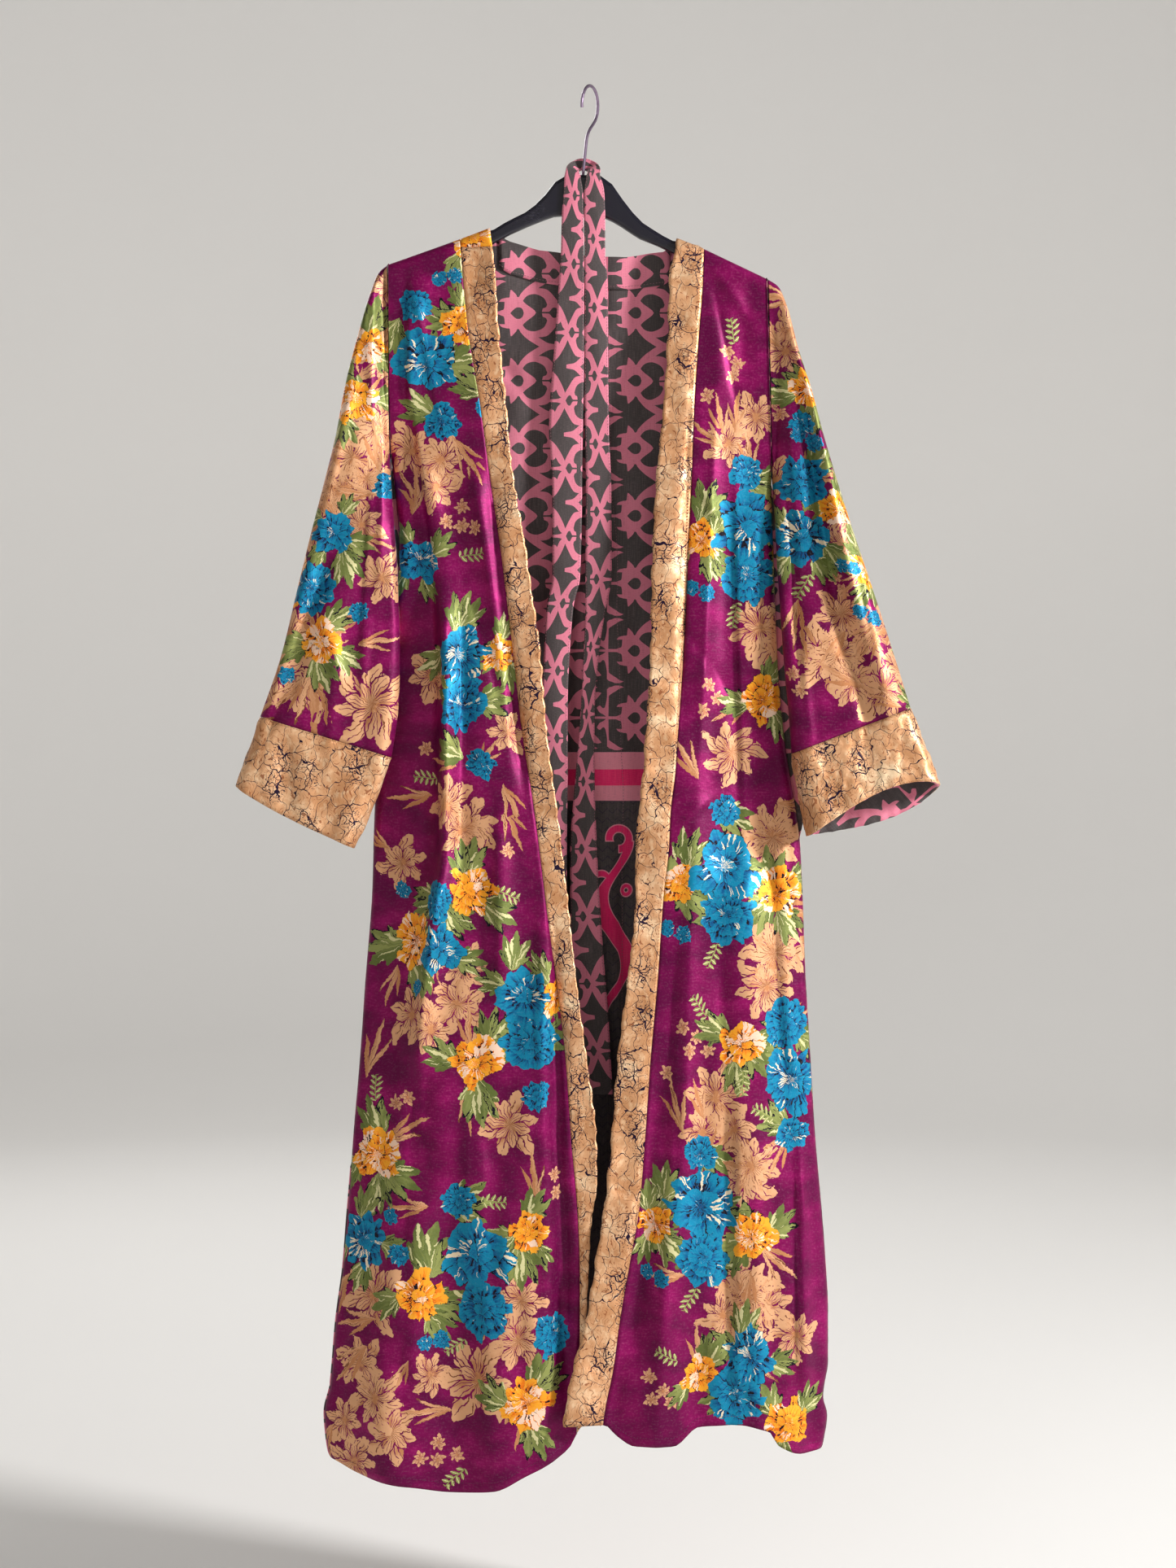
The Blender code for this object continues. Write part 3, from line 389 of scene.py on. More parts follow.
LEFT_SLEEVE_PRINT = {
    "peony": ((218, -472, 25),),
    "aster": ((217, -412, 25),),
    "posy": ((216, -352, 13),),
    "bud": ((260, -495, 8), (273, -496, 8)),
    "rose": ((255, -436, 18),),
    "leaf": ((213, -306, 15), (239, -503, 15), (238, -386, 17)),
    "sprig": ((217, -522, 15),),
    "lily": (
        (201, -277, 17), (213, -251, 15), (258, -549, 20), (289, -565, 22), (239, -596, 24),
        (268, -619, 18), (303, -626, 24), (263, -470, 15),
    ),
    "branch": ((271, -513, 15), (208, -562, 20), (229, -335, 15)),
    "floret": ((217, -596, 7), (206, -612, 7), (213, -629, 7)),
}
CLUSTER = {
    "peony": ((0, 0, 32),),
    "aster": ((3, -51, 27),),
    "posy": ((0, 55, 17),),
    "bud": ((-62, -64, 8), (-45, -70, 9)),
    "rose": ((-50, -16, 18), (57, -29, 22)),
    "leaf": ((-40, 18, 19), (35, -47, 21), (-36, -36, 19)),
    "sprig": ((-13, -92, 14),),
    "lily": ((50, 29, 22), (54, -90, 25), (45, -124, 24)),
}

# The flowers of one repeat on the hidden sides, and where its middle lies on each of them
BACK_REPEATS = (
    (-178, -330), (-20, -215), (150, -345), (-170, -680), (-12, -540), (165, -695), (-195, -1030),
    (-18, -885), (175, -1045), (-205, -1375), (-10, -1230), (190, -1390),
)
SLEEVE_REPEATS = {
    "right": ((-300, -300), (-370, -480), (-440, -640), (-470, -780)),
    "left": ((275, -300), (340, -480), (400, -640), (440, -780)),
}
EXTRA_ON_REPEAT = {
    "lily": ((-70, 40, 22), (10, -120, 22), (-85, -110, 20), (84, 20, 22)),
    "branch": ((-90, 80, 22), (78, -75, 20)),
    "floret": ((-88, -30, 7), (-80, -42, 7), (30, 88, 7), (44, 96, 7), (-30, 90, 7)),
}

# The layers of the print from the lowest to the highest, and the kinds of flower that each may hold
Layer = namedtuple("Layer", "name kinds")
LAYERS = table_of(
    Layer,
    ("lily_low", ("lily", "floret")), ("lily_high", ("lily", "floret")), ("branch", ("branch",)),
    ("leaf_low", ("leaf",)), ("leaf_high", ("leaf",)), ("sprig", ("sprig",)), ("rose", ("rose",)),
    ("aster", ("aster", "posy", "bud")), ("peony", ("peony",)),
)
POINTS_AWAY = ("leaf", "branch", "sprig", "bud")
FAR_OFF = 9.0
LAYER_REACH = 1.5

# How large each kind of flower is drawn, as a share of its circle in the tables
SPREAD = {
    "peony": 1.28, "aster": 1.25, "rose": 1.3, "posy": 1.2, "bud": 1.2, "leaf": 1.3, "lily": 1.72,
    "branch": 1.5, "sprig": 0.95, "floret": 1.3,
}

# What is added round each flower of a kind: what, how many, how far out as a share of how large the flower
# is drawn, and how large as a share of its circle
ADDED = (("peony", "leaf", 4, 1.2, 0.6), ("rose", "leaf", 3, 1.25, 0.8), ("lily", "branch", 1, 1.2, 0.9))


def repeated(anchors, *tables):
    """The flowers of some tables at each of the anchors."""
    total = {}
    for table in tables:
        for kind, rows in table.items():
            for x, z in anchors:
                total.setdefault(kind, []).extend((x + row[0], z + row[1], row[2]) for row in rows)
    return total


def joined_prints(*tables):
    total = {}
    for table in tables:
        for kind, rows in table.items():
            total.setdefault(kind, []).extend(rows)
    return total


def with_leaves(table, random):
    """The flowers of a table, with the leaves that stand round them."""
    total = {kind: list(rows) for kind, rows in table.items()}
    for kind, added, count, out, size in ADDED:
        for x, z, radius in table.get(kind, ()):
            first = random.uniform(0, 2 * math.pi)
            for k in range(count):
                angle = first + 2 * math.pi * (k + random.uniform(-0.2, 0.2)) / count
                out_here = out * radius * SPREAD[kind]
                place = (x + out_here * math.cos(angle), z + out_here * math.sin(angle))
                total.setdefault(added, []).append((*place, size * radius * random.uniform(0.85, 1.15)))
    return total


def turned(kind, x, z, blossoms, random):
    """The way a flower points: leaves and sprigs away from the nearest blossom, the rest at random."""
    if kind in POINTS_AWAY and len(blossoms):
        away = np.array([x, z]) - blossoms
        nearest = away[np.hypot(*away.T).argmin()]
        return math.atan2(nearest[1], nearest[0]) + random.uniform(-0.35, 0.35)
    return random.uniform(-math.pi, math.pi) if kind != "peony" else random.uniform(-0.3, 0.3)


def in_layers(table, seed):
    """Each layer's flowers as x, z, radius, turn and seed. Flowers of one kind that overlap go in two."""
    random = np.random.default_rng(seed)
    table = with_leaves(table, random)
    heads = [row[:2] for kind in ("peony", "aster", "rose", "posy") for row in table.get(kind, ())]
    blossoms = np.array(heads, float).reshape(-1, 2)
    placed = {layer.name: [] for layer in LAYERS}
    for kind, rows in table.items():
        for x, z, radius in rows:
            radius *= SPREAD[kind]
            options = [layer.name for layer in LAYERS if kind in layer.kinds]
            room = []
            for name in options:
                gaps = [math.hypot(x - o[0], z - o[1]) / (radius + o[2]) for o in placed[name]]
                room.append(min(gaps, default=FAR_OFF))
            name = options[int(np.argmax(room))]
            turn = turned(kind, x, z, blossoms, random)
            placed[name].append((x, z, radius, turn, random.uniform(1, 9)))
    return placed


def lay_print(mesh, corners, table, seed):
    """Gives every face the nearest flower of each layer, as a place inside that flower's own circle."""
    centres = corners.mean(axis=1) / MM
    for name, flowers in in_layers(table, seed).items():
        values = np.full(corners.shape[:2] + (3,), FAR_OFF)
        values[..., 2] = 0
        if flowers:
            flowers = np.array(flowers)
            apart = np.linalg.norm(centres[:, None] - flowers[None, :, :2], axis=2) / flowers[:, 2]
            nearest = apart.argmin(axis=1)
            here = flowers[nearest][:, None]
            local = (corners / MM - here[..., :2]) / here[..., 2:3]
            cos, sin = np.cos(here[..., 3]), np.sin(here[..., 3])
            drawn = np.stack([
                local[..., 0] * cos + local[..., 1] * sin,
                local[..., 1] * cos - local[..., 0] * sin,
                np.broadcast_to(here[..., 4], local.shape[:2]),
            ], axis=-1)
            near = apart.min(axis=1) < LAYER_REACH
            values[near] = drawn[near]
        attribute = mesh.attributes.new(name, "FLOAT_VECTOR", "CORNER")
        attribute.data.foreach_set("vector", values.ravel())


Crease = namedtuple("Crease", "from_x from_z to_x to_z half_width rise")

# Finer creases of the satin, from end to end at any slant, in millimetres
RIGHT_FRONT_CREASES = table_of(
    Crease,
    (-185, -210, -160, -330, 9, 1.6), (-120, -190, -158, -300, 10, -1.4), (-176, -400, -160, -500, 10, 5.0),
    (-160, -500, -151, -590, 10, 6.0), (-151, -590, -151, -806, 10, 7.0), (-154, -800, -170, -920, 10, 5.4),
    (-170, -920, -178, -985, 9, 4.0), (-134, -560, -134, -830, 9, -3.0), (-177, -1004, -177, -1110, 6, 2.4),
    (-95, -755, -95, -925, 10, 3.0), (-118, -420, -98, -560, 12, 4.0), (-98, -560, -84, -700, 11, 3.6),
    (-104, -420, -84, -600, 8, -3.4), (-84, -600, -70, -720, 8, -3.4), (-52, -880, -50, -1090, 9, 4.6),
    (-50, -1090, -40, -1375, 10, 4.0), (-38, -890, -34, -1090, 7, -4.0), (-34, -1090, -24, -1375, 8, -4.0),
    (-215, -760, -222, -1000, 10, 3.0), (-238, -1010, -250, -1400, 14, 3.4),
    (-132, -960, -120, -1250, 14, 2.6), (-88, -1130, -82, -1400, 15, 3.0),
    (-150, -980, -95, -1130, 9, -1.4), (-205, -1040, -150, -1100, 8, 1.2),
    (-235, -1120, -190, -1290, 10, 1.6), (-210, -1310, -140, -1400, 10, -1.5),
    (-120, -1290, -60, -1390, 9, 1.5), (-130, -520, -92, -640, 8, -1.4), (-200, -640, -150, -700, 9, 1.0),
    (-75, -1180, -60, -1300, 6, 1.6),
)
LEFT_FRONT_CREASES = table_of(
    Crease,
    (104, -330, 92, -640, 9, -3.0), (128, -340, 112, -700, 14, 3.6), (182, -560, 196, -850, 10, -3.0),
    (160, -500, 176, -800, 14, 3.0), (104, -800, 92, -1100, 13, 3.0), (205, -860, 222, -1080, 12, 3.4),
    (64, -1060, 44, -1300, 10, -3.4), (132, -900, 140, -1120, 13, -2.6), (120, -180, 168, -250, 9, 1.5),
    (128, -215, 150, -330, 8, -1.4), (100, -395, 140, -470, 7, 1.2), (92, -560, 150, -640, 9, -1.2),
    (90, -765, 125, -738, 4, 1.6), (150, -1090, 149, -1350, 6, 1.8), (215, -1110, 219, -1330, 6, 2.2),
    (175, -940, 215, -1060, 9, -1.4), (78, -1180, 66, -1385, 8, 1.6), (45, -1230, 22, -1370, 7, -1.6),
    (120, -1300, 190, -1375, 9, 1.4), (205, -700, 160, -830, 9, 1.2), (105, -980, 90, -1150, 10, 1.2),
)
BACK_CREASES = table_of(
    Crease,
    (-150, -215, -60, -330, 12, 1.6), (130, -225, 50, -340, 12, 1.6), (-120, -560, -135, -900, 7, 2.0),
    (-20, -480, -30, -1010, 8, 1.8), (75, -520, 88, -880, 7, -2.0), (150, -700, 140, -1100, 8, 1.8),
    (-190, -950, -170, -1330, 8, -1.8), (20, -900, 35, -1330, 8, 1.8), (-75, -1000, -90, -1380, 8, 1.6),
    (115, -1050, 130, -1370, 9, -1.6), (-160, -420, -110, -500, 10, 1.4), (170, -480, 120, -560, 10, 1.4),
)
SLEEVE_CREASES = {
    "right": table_of(
        Crease,
        (-213, -195, -213, -292, 6, -4.5), (-224, -200, -226, -300, 9, 3.4),
        (-233, -308, -260, -427, 8, -4.5), (-247, -320, -274, -440, 10, 3.6),
        (-269, -494, -305, -590, 8, -4.5), (-282, -480, -318, -590, 10, 3.6),
        (-305, -590, -330, -675, 8, -3.6), (-235, -240, -222, -360, 12, 3.2),
        (-285, -520, -250, -640, 12, 3.0), (-222, -560, -236, -690, 10, -2.6),
        (-262, -600, -270, -700, 9, 2.6), (-212, -330, -218, -520, 9, 3.2),
    ),
    "left": table_of(
        Crease,
        (193, -225, 215, -300, 9, 3.0), (216, -330, 262, -590, 8, -4.4), (228, -330, 276, -590, 11, 3.6),
        (240, -420, 300, -650, 12, 3.6), (212, -560, 226, -690, 10, 3.4), (268, -560, 282, -680, 9, -3.2),
        (232, -300, 252, -400, 9, 3.0), (204, -420, 214, -600, 8, -3.0),
    ),
}

# Tucks: lines along which the cloth stands out sharply over what is on their -x side, told as creases are
RIGHT_FRONT_TUCKS = table_of(
    Crease,
    (-189, -215, -188, -330, 16, 5), (-182, -350, -163, -480, 24, 7), (-163, -480, -155, -590, 26, 8),
    (-155, -590, -154, -800, 28, 9), (-154, -800, -170, -920, 26, 8), (-170, -920, -180, -1020, 22, 6),
    (-100, -440, -84, -610, 16, 4), (-46, -900, -44, -1090, 14, 5), (-44, -1090, -33, -1370, 14, 5),
    (-232, -880, -240, -1180, 22, 4), (-180, -1090, -186, -1380, 26, 4), (-116, -1080, -108, -1390, 24, 4),
)
LEFT_FRONT_TUCKS = table_of(
    Crease,
    (106, -340, 98, -600, 18, 4), (186, -380, 194, -640, 18, 5), (150, -440, 158, -760, 24, 4),
    (150, -1080, 148, -1360, 26, 5), (216, -1110, 218, -1350, 20, 6), (92, -900, 74, -1240, 20, 4),
    (190, -780, 204, -1040, 24, 5),
)
BACK_TUCKS = table_of(
    Crease,
    (-120, -420, -132, -800, 26, 6), (-30, -380, -36, -900, 28, 6), (70, -450, 84, -900, 26, 6),
    (-170, -800, -180, -1380, 28, 6), (-70, -900, -84, -1390, 30, 6), (30, -850, 42, -1390, 30, 6),
    (130, -800, 146, -1380, 28, 6),
)
SLEEVE_TUCKS = {
    "right": table_of(
        Crease,
        (-212, -200, -213, -330, 16, 7), (-233, -308, -262, -440, 20, 6), (-269, -494, -303, -590, 22, 6),
        (-303, -590, -330, -690, 22, 5), (-226, -430, -236, -640, 20, 5),
    ),
    "left": table_of(
        Crease,
        (218, -300, 262, -590, 22, 6), (206, -380, 220, -620, 16, 5), (262, -420, 300, -640, 20, 5),
    ),
}

# How wide a tuck's sharp side is in millimetres, how far it fades either side of its ends as a share of its
# length, and how far it keeps from a side seam
TUCK_DROP = 3.2
TUCK_ENDS = 0.2
TUCK_CLEAR = 10 * MM

# How far a crease fades either side of its ends, as a share of its length, and how wide its steep side is,
# as a share of the other
CREASE_ENDS = 0.3
CREASE_STEEPER = 0.55

# The gentle unevenness of hanging satin: how many waves are summed, and their shortest and longest lengths
RIPPLE_WAVES = 14
RIPPLE_ACROSS = (34, 90)
RIPPLE_DOWN = (90, 420)
RIPPLE_SHARE = 0.33
RIGHT_FRONT_SEED = 11
LEFT_FRONT_SEED = 12
BACK_SEED = 13

# How far the back's side seams reach out behind the sleeves, at each height, in millimetres
TurningRow = namedtuple("TurningRow", "height right left")
SIDE_TURNING = table_of(
    TurningRow,
    (-150, 0, 0), (-392, 0, 0), (-408, 4, 0), (-430, 8, 4), (-470, 10, 9), (-540, 9, 10), (-580, 3, 11),
    (-620, 0, 12), (-720, 0, 12), (-765, 0, 6), (-785, 0, 0), (-1451, 0, 0),
)
TURNING_DEPTH = 4 * MM

# The row of a body panel where its cloth's flat height equals its height as it hangs
FLAT_ROW = 24

# The seed of each piece's print
BACK_PRINT_SEED = 41
FRONT_PRINT_SEED = 51
BAND_TOP_PRINT_SEED = 53
SLEEVE_PRINT_SEED = 61

# Which rows or columns of a piece's grid the lines of stitching follow: most lie between two of them
HEM_STITCHES = (-2,)
BAND_STITCHES = (0.5, BAND_COLUMNS - 0.6)
CUFF_STITCHES = (0.3, CUFF_ROWS - 0.5)
BELT_STITCHES = (0.5, BELT_COLUMNS - 0.5)

# How far the neck facing's print is moved along its cloth, across and up, against the back lining's
FACING_SHIFT = (0.0, 0.03)

# The small waves that the seams draw up in the bands and cuffs
PUCKER_WAVES = 7
PUCKER_LENGTHS = (11, 46)
PUCKER_REACH = 9 * MM
PUCKER_SHARE = 0.5
PUCKER_SLANT = 0.7
BAND_PUCKER = 2.2 * MM
CUFF_PUCKER = 2.4 * MM
EDGE_WAVER = 1.1 * MM

# The finer unevenness of the sleeves and the belt
SLEEVE_SEED = 21
FINE_ON_SLEEVE = 0.7
BELT_TOP = -93 * MM
BELT_SEED = 31
BELT_RIPPLE = 0.5
BELT_CALM = 120 * MM
BELT_APART = -420 * MM
BELT_CLOSER = 1.5 * MM


def settings():
    return bpy.context.scene.robe_settings


def put_in_scene(name, data):
    """A new object round some data, in the scene."""
    thing = bpy.data.objects.new(name, data)
    bpy.context.scene.collection.objects.link(thing)
    return thing


def curve(keys, values, at):
    """Smooth values between the rows of a table, with no overshoot, read at any keys."""
    keys = np.asarray(keys, float)
    values = np.asarray(values, float)
    if keys[0] > keys[-1]:
        keys = keys[::-1]
        values = values[::-1]
    steps = np.diff(keys)
    rises = np.diff(values) / steps
    slopes = np.zeros(len(keys))
    slopes[0] = rises[0]
    slopes[-1] = rises[-1]
    both = rises[:-1] * rises[1:]
    total = rises[:-1] + rises[1:]
    level = both <= 0
    slopes[1:-1] = np.where(level, 0, 2 * both / np.where(level, 1, total))
    at = np.clip(at, keys[0], keys[-1])
    index = np.clip(np.searchsorted(keys, at) - 1, 0, len(steps) - 1)
    span = steps[index]
    t = (at - keys[index]) / span
    start = values[index] * (1 + 2 * t) * (1 - t) ** 2 + span * slopes[index] * t * (1 - t) ** 2
    end = values[index + 1] * t**2 * (3 - 2 * t) + span * slopes[index + 1] * t**2 * (t - 1)
    return start + end


def read(table, column, at):
    """One column of a table of millimetre rows, in metres, at the heights given."""
    heights = [row.height * MM for row in table]
    return curve(heights, [getattr(row, column) * MM for row in table], at)


def along(points, at):
    """The height of a line of (x, height) points, in metres, at the x given."""
    xs, heights = zip(*sorted(points))
    return np.interp(at, np.array(xs) * MM, np.array(heights) * MM)


def along_hem(points, at):
    """As along, on a smooth line."""
    xs, heights = zip(*sorted(points))
    return curve(np.array(xs) * MM, np.array(heights) * MM, at)


def rounded(distance, radius):
    """0 at the edge, rising along a quarter circle to 1 at one radius from it."""
    t = np.clip(distance / radius, 0, 1)
    return np.sqrt(1 - (1 - t) ** 2)


def eased(distance, reach):
    t = np.clip(distance / reach, 0, 1)
    return t * t * (3 - 2 * t)


def fold_rise(folds, x, z):
    """The sum of the folds at these points: each is a bell across and fades out at its two ends."""
    total = np.zeros_like(x)
    for fold in folds:
        t = (z / MM - fold.top_z) / (fold.low_z - fold.top_z)
        middle = fold.top_x + (fold.low_x - fold.top_x) * t
        across = (x / MM - middle) / fold.half_width
        fade = eased(t + FOLD_LEAD, FOLD_FADE_IN) * eased(1 + FOLD_TAIL - t, FOLD_FADE_OUT)
        total += fold.rise * MM * np.exp(-(across**2)) * fade
    return total


def crease_rise(creases, x, z):
    """The sum of the fine creases at these points: each is steeper on one side than on the other."""
    total = np.zeros_like(x)
    for crease in creases:
        run = np.array([crease.to_x - crease.from_x, crease.to_z - crease.from_z], float)
        length = np.hypot(*run)
        run /= length
        from_x = x / MM - crease.from_x
        from_z = z / MM - crease.from_z
        t = (from_x * run[0] + from_z * run[1]) / length
        across = (from_x * run[1] - from_z * run[0]) / crease.half_width
        across = np.where(across > 0, across / CREASE_STEEPER, across)
        fade = eased(t + CREASE_ENDS, CREASE_ENDS * 2) * eased(1 + CREASE_ENDS - t, CREASE_ENDS * 2)
        total += crease.rise * MM * np.exp(-np.abs(across) ** 1.5) * fade
    return total * settings().crease_share


def tuck_rise(tucks, x, z):
    """The sum of the tucks: each stands out along a sharp line and runs out slowly on the +x side of it."""
    total = np.zeros_like(x)
    for tuck in tucks:
        t = (z / MM - tuck.from_z) / (tuck.to_z - tuck.from_z)
        across = x / MM - tuck.from_x - (tuck.to_x - tuck.from_x) * t
        beyond = np.where(across > 0, across / tuck.half_width, -across / TUCK_DROP)
        fade = eased(t + TUCK_ENDS, TUCK_ENDS * 2) * eased(1 + TUCK_ENDS - t, TUCK_ENDS * 2)
        total += tuck.rise * MM * np.exp(-(beyond**2)) * fade
    return total


def ripple(x, z, seed):
    """A gentle unevenness, the same on every run: a sum of waves that are longer down the cloth."""
    random = np.random.default_rng(seed)
    total = np.zeros_like(x)
    for _ in range(RIPPLE_WAVES):
        across = 2 * math.pi / (random.uniform(*RIPPLE_ACROSS) * MM)
        down = random.choice([-1, 1]) * 2 * math.pi / (random.uniform(*RIPPLE_DOWN) * MM)
        total += np.sin(x * across + z * down + random.uniform(0, 2 * math.pi))
    return total * RIPPLE_SHARE * settings().ripple_height


def rounding_steps(radius, angles=EDGE_ANGLES):
    """Distances from an edge that step round a quarter circle."""
    return [radius * (1 - math.cos(math.radians(angle))) for angle in angles]


def down_steps(length, count, stop=None, steps_to_stop=0):
    """Distances down from a shoulder line: close together round it, even to a stop, then even to the end."""
    first = np.array(rounding_steps(SHOULDER_RADIUS))
    if stop is not None:
        first = np.concatenate([first, np.linspace(first[-1], stop, steps_to_stop + 1)[1:]])
    return np.concatenate([first, np.linspace(first[-1], length, count + 1)[1:]])


def side_columns(count):
    """Columns from a rounded side edge: each is a share of the way across and a shift in metres."""
    turn = [(0, step) for step in rounding_steps(SIDE_RADIUS)]
    return turn + [(k / count, SIDE_RADIUS * (1 - k / count)) for k in range(1, count + 1)]


def even_columns(count):
    return [(k / count, 0) for k in range(count + 1)]


Panel = namedtuple("Panel", "column folds creases tucks seed")
FRONT_OF_RIGHT = Panel("front", RIGHT_FRONT_FOLDS, RIGHT_FRONT_CREASES, RIGHT_FRONT_TUCKS, RIGHT_FRONT_SEED)
FRONT_OF_LEFT = Panel("front", LEFT_FRONT_FOLDS, LEFT_FRONT_CREASES, LEFT_FRONT_TUCKS, LEFT_FRONT_SEED)
BACK_PANEL = Panel("back", BACK_FOLDS, BACK_CREASES, BACK_TUCKS, BACK_SEED)


def depth_at(x, z, top, side, underarm, panel):
    """How far the body cloth stands from the hanger's middle plane, at points of the front or the back."""
    drop = np.maximum(top - z, 0)
    inset = np.maximum(np.abs(side) - np.abs(x), 0)
    over = rounded(drop, SHOULDER_RADIUS)
    armhole = over * rounded(np.maximum(z - underarm, 0), UNDERARM_ROUND)
    turned = armhole + (over - armhole) * rounded(inset - SEAM_GAP, SIDE_RADIUS)
    shelf = read(SIDE_SHELF, "width", z)
    inside = eased(inset - shelf, DEPTH_REACHES_OVER) * eased(drop, DEPTH_STARTS_OVER)
    extra = read(BODY_DEPTHS, panel.column, z) - SHOULDER_RADIUS
    extra = extra + fold_rise(panel.folds, x, z)
    fine = crease_rise(panel.creases, x, z) + ripple(x, z, panel.seed)
    below = eased(drop, DEPTH_STARTS_OVER / 2)
    near = eased(inset - shelf, DEPTH_STARTS_OVER / 3) * below
    tucked = tuck_rise(panel.tucks, x, z) * eased(inset - TUCK_CLEAR, TUCK_CLEAR) * below
    return EDGE_GAP + SHOULDER_RADIUS * turned + inside * extra + near * fine + tucked


class Front:
    """One front of the robe: its tables, its side of the body, and where each point of it lies."""

    def __init__(self, side, rows, shoulder, hem, underarm, panel):
        self.side = side
        self.inward = 1 if side == "right" else -1
        self.rows = rows
        self.shoulder = shoulder
        self.hem = hem
        self.underarm = underarm
        self.panel = panel

    def across(self, edges, column, z):
        """x of one column between two edges, such as the side seam and the band seam."""
        share, shift = column
        first = read(self.rows, edges[0], z)
        return first + (read(self.rows, edges[1], z) - first) * share + self.inward * shift

    def meet(self, line, edges, column):
        """The height at which one column meets the shoulder or the hem."""
        find = along if line is self.shoulder else along_hem
        height = line[-1][1] * MM
        for _ in range(MEET_STEPS):
            height = find(line, self.across(edges, column, height))
        return height

    def strip(self, edges, columns, rows, first=None, last=None):
        """A grid between two edges, from the shoulder or a first height down to a last height or the hem."""
        lines = []
        for column in columns:
            top = self.meet(self.shoulder, edges, column)
            low = self.meet(self.hem, edges, column) if last is None else last
            z = top - down_steps(top - low, rows) if first is None else np.linspace(first, low, rows + 1)
            lines.append(self.place(self.across(edges, column, z), z, top))
        grid = np.stack(lines, axis=1)
        return grid if self.inward > 0 else grid[:, ::-1]

    def place(self, x, z, top):
        """The points of the outer face at these x and heights."""
        side = read(self.rows, "side", z)
        depth = depth_at(x, z, top, side, self.underarm, self.panel)
        near = 1 - eased(np.abs(x - read(self.rows, "free", z)), LAP_REACH)
        depth = depth - self.inward * near * read(LAP, self.side, z)
        return np.stack([x, -depth, z], axis=-1)


RIGHT = Front("right", RIGHT_FRONT, RIGHT_SHOULDER, RIGHT_HEM, RIGHT_UNDERARM, FRONT_OF_RIGHT)
LEFT = Front("left", LEFT_FRONT, LEFT_SHOULDER, LEFT_HEM, LEFT_UNDERARM, FRONT_OF_LEFT)


def held_back(columns, at_first, at_last):
    """The columns with the first and the last one moved into the strip, to leave a seam's gap."""
    (first, shift), (last, last_shift) = columns[0], columns[-1]
    return [(first, shift + at_first)] + columns[1:-1] + [(last, last_shift - at_last)]


def back_across(column, z):
    """x of one column of the back, counted from the wearer's left side seam to the right one."""
    share, shift = column
    left_side = read(LEFT_FRONT, "side", z) - SEAM_GAP + read(SIDE_TURNING, "left", z)
    right_side = read(RIGHT_FRONT, "side", z) + SEAM_GAP - read(SIDE_TURNING, "right", z)
    return left_side + (right_side - left_side) * share - shift


def back_place(x, z):
    """The points of the back's outer face at these x and heights."""
    left_side = read(LEFT_FRONT, "side", z)
    right_side = read(RIGHT_FRONT, "side", z)
    on_left = x > (left_side + right_side) / 2
    side = np.where(on_left, left_side, right_side)
    underarm = np.where(on_left, LEFT_UNDERARM, RIGHT_UNDERARM)
    depth = depth_at(x, z, along(BEHIND_HANGER, x), side, underarm, BACK_PANEL)
    turning = np.where(on_left, read(SIDE_TURNING, "left", z), read(SIDE_TURNING, "right", z))
    depth = np.maximum(depth, EDGE_GAP + TURNING_DEPTH * eased(turning, TURNING_DEPTH))
    return np.stack([x, depth, z], axis=-1)


def back_grid():
    """The back's outer face, from the wearer's left side seam to the right one."""
    turn = [(0, step) for step in rounding_steps(SIDE_RADIUS)]
    shares = np.linspace(0, 1, BACK_COLUMNS + 1)[1:-1]
    middle = [(share, SIDE_RADIUS * (1 - 2 * share)) for share in shares]
    columns = turn + middle + [(1, -step) for _, step in turn[::-1]]
    lines = []
    for column in columns:
        top = BACK_NECK[0][1] * MM
        low = BACK_HEM[0][1] * MM
        for _ in range(MEET_STEPS):
            top = along(BACK_TOP, back_across(column, top))
            low = along_hem(BACK_HEM, back_across(column, low)) + BACK_HEM_RISE
        z = top - down_steps(top - low, BACK_ROWS, NECK_STRIP, NECK_ROWS)
        lines.append(back_place(back_across(column, z), z))
    return np.stack(lines, axis=1)


def moved(grid, distance, wrap=False):
    """The grid's points moved outwards along its normals, or inwards where the distance is below zero."""
    down = np.gradient(grid, axis=0)
    if wrap:
        along_row = np.roll(grid, -1, axis=1) - np.roll(grid, 1, axis=1)
    else:
        along_row = np.gradient(grid, axis=1)
    normal = np.cross(down, along_row)
    return grid + distance * normal / np.linalg.norm(normal, axis=-1, keepdims=True)


def sleeve_sections(table):
    """The sleeve's sections in metres, read evenly between the rows of its table."""
    keys = np.arange(len(table))
    at = np.linspace(0, len(table) - 1, SLEEVE_ROWS)
    return np.stack([curve(keys, np.array(column) * MM, at) for column in zip(*table)], axis=1)


def cuff_sections(last, end):
    """The cuff's sections, from just below the sleeve's last one to the mouth."""
    end = np.array(end) * MM
    start = last + (end - last) * SEAM_GAP / np.hypot(*(end[:2] - last[:2]))
    return np.stack([start + (end - start) * k / CUFF_ROWS for k in range(CUFF_ROWS + 1)])


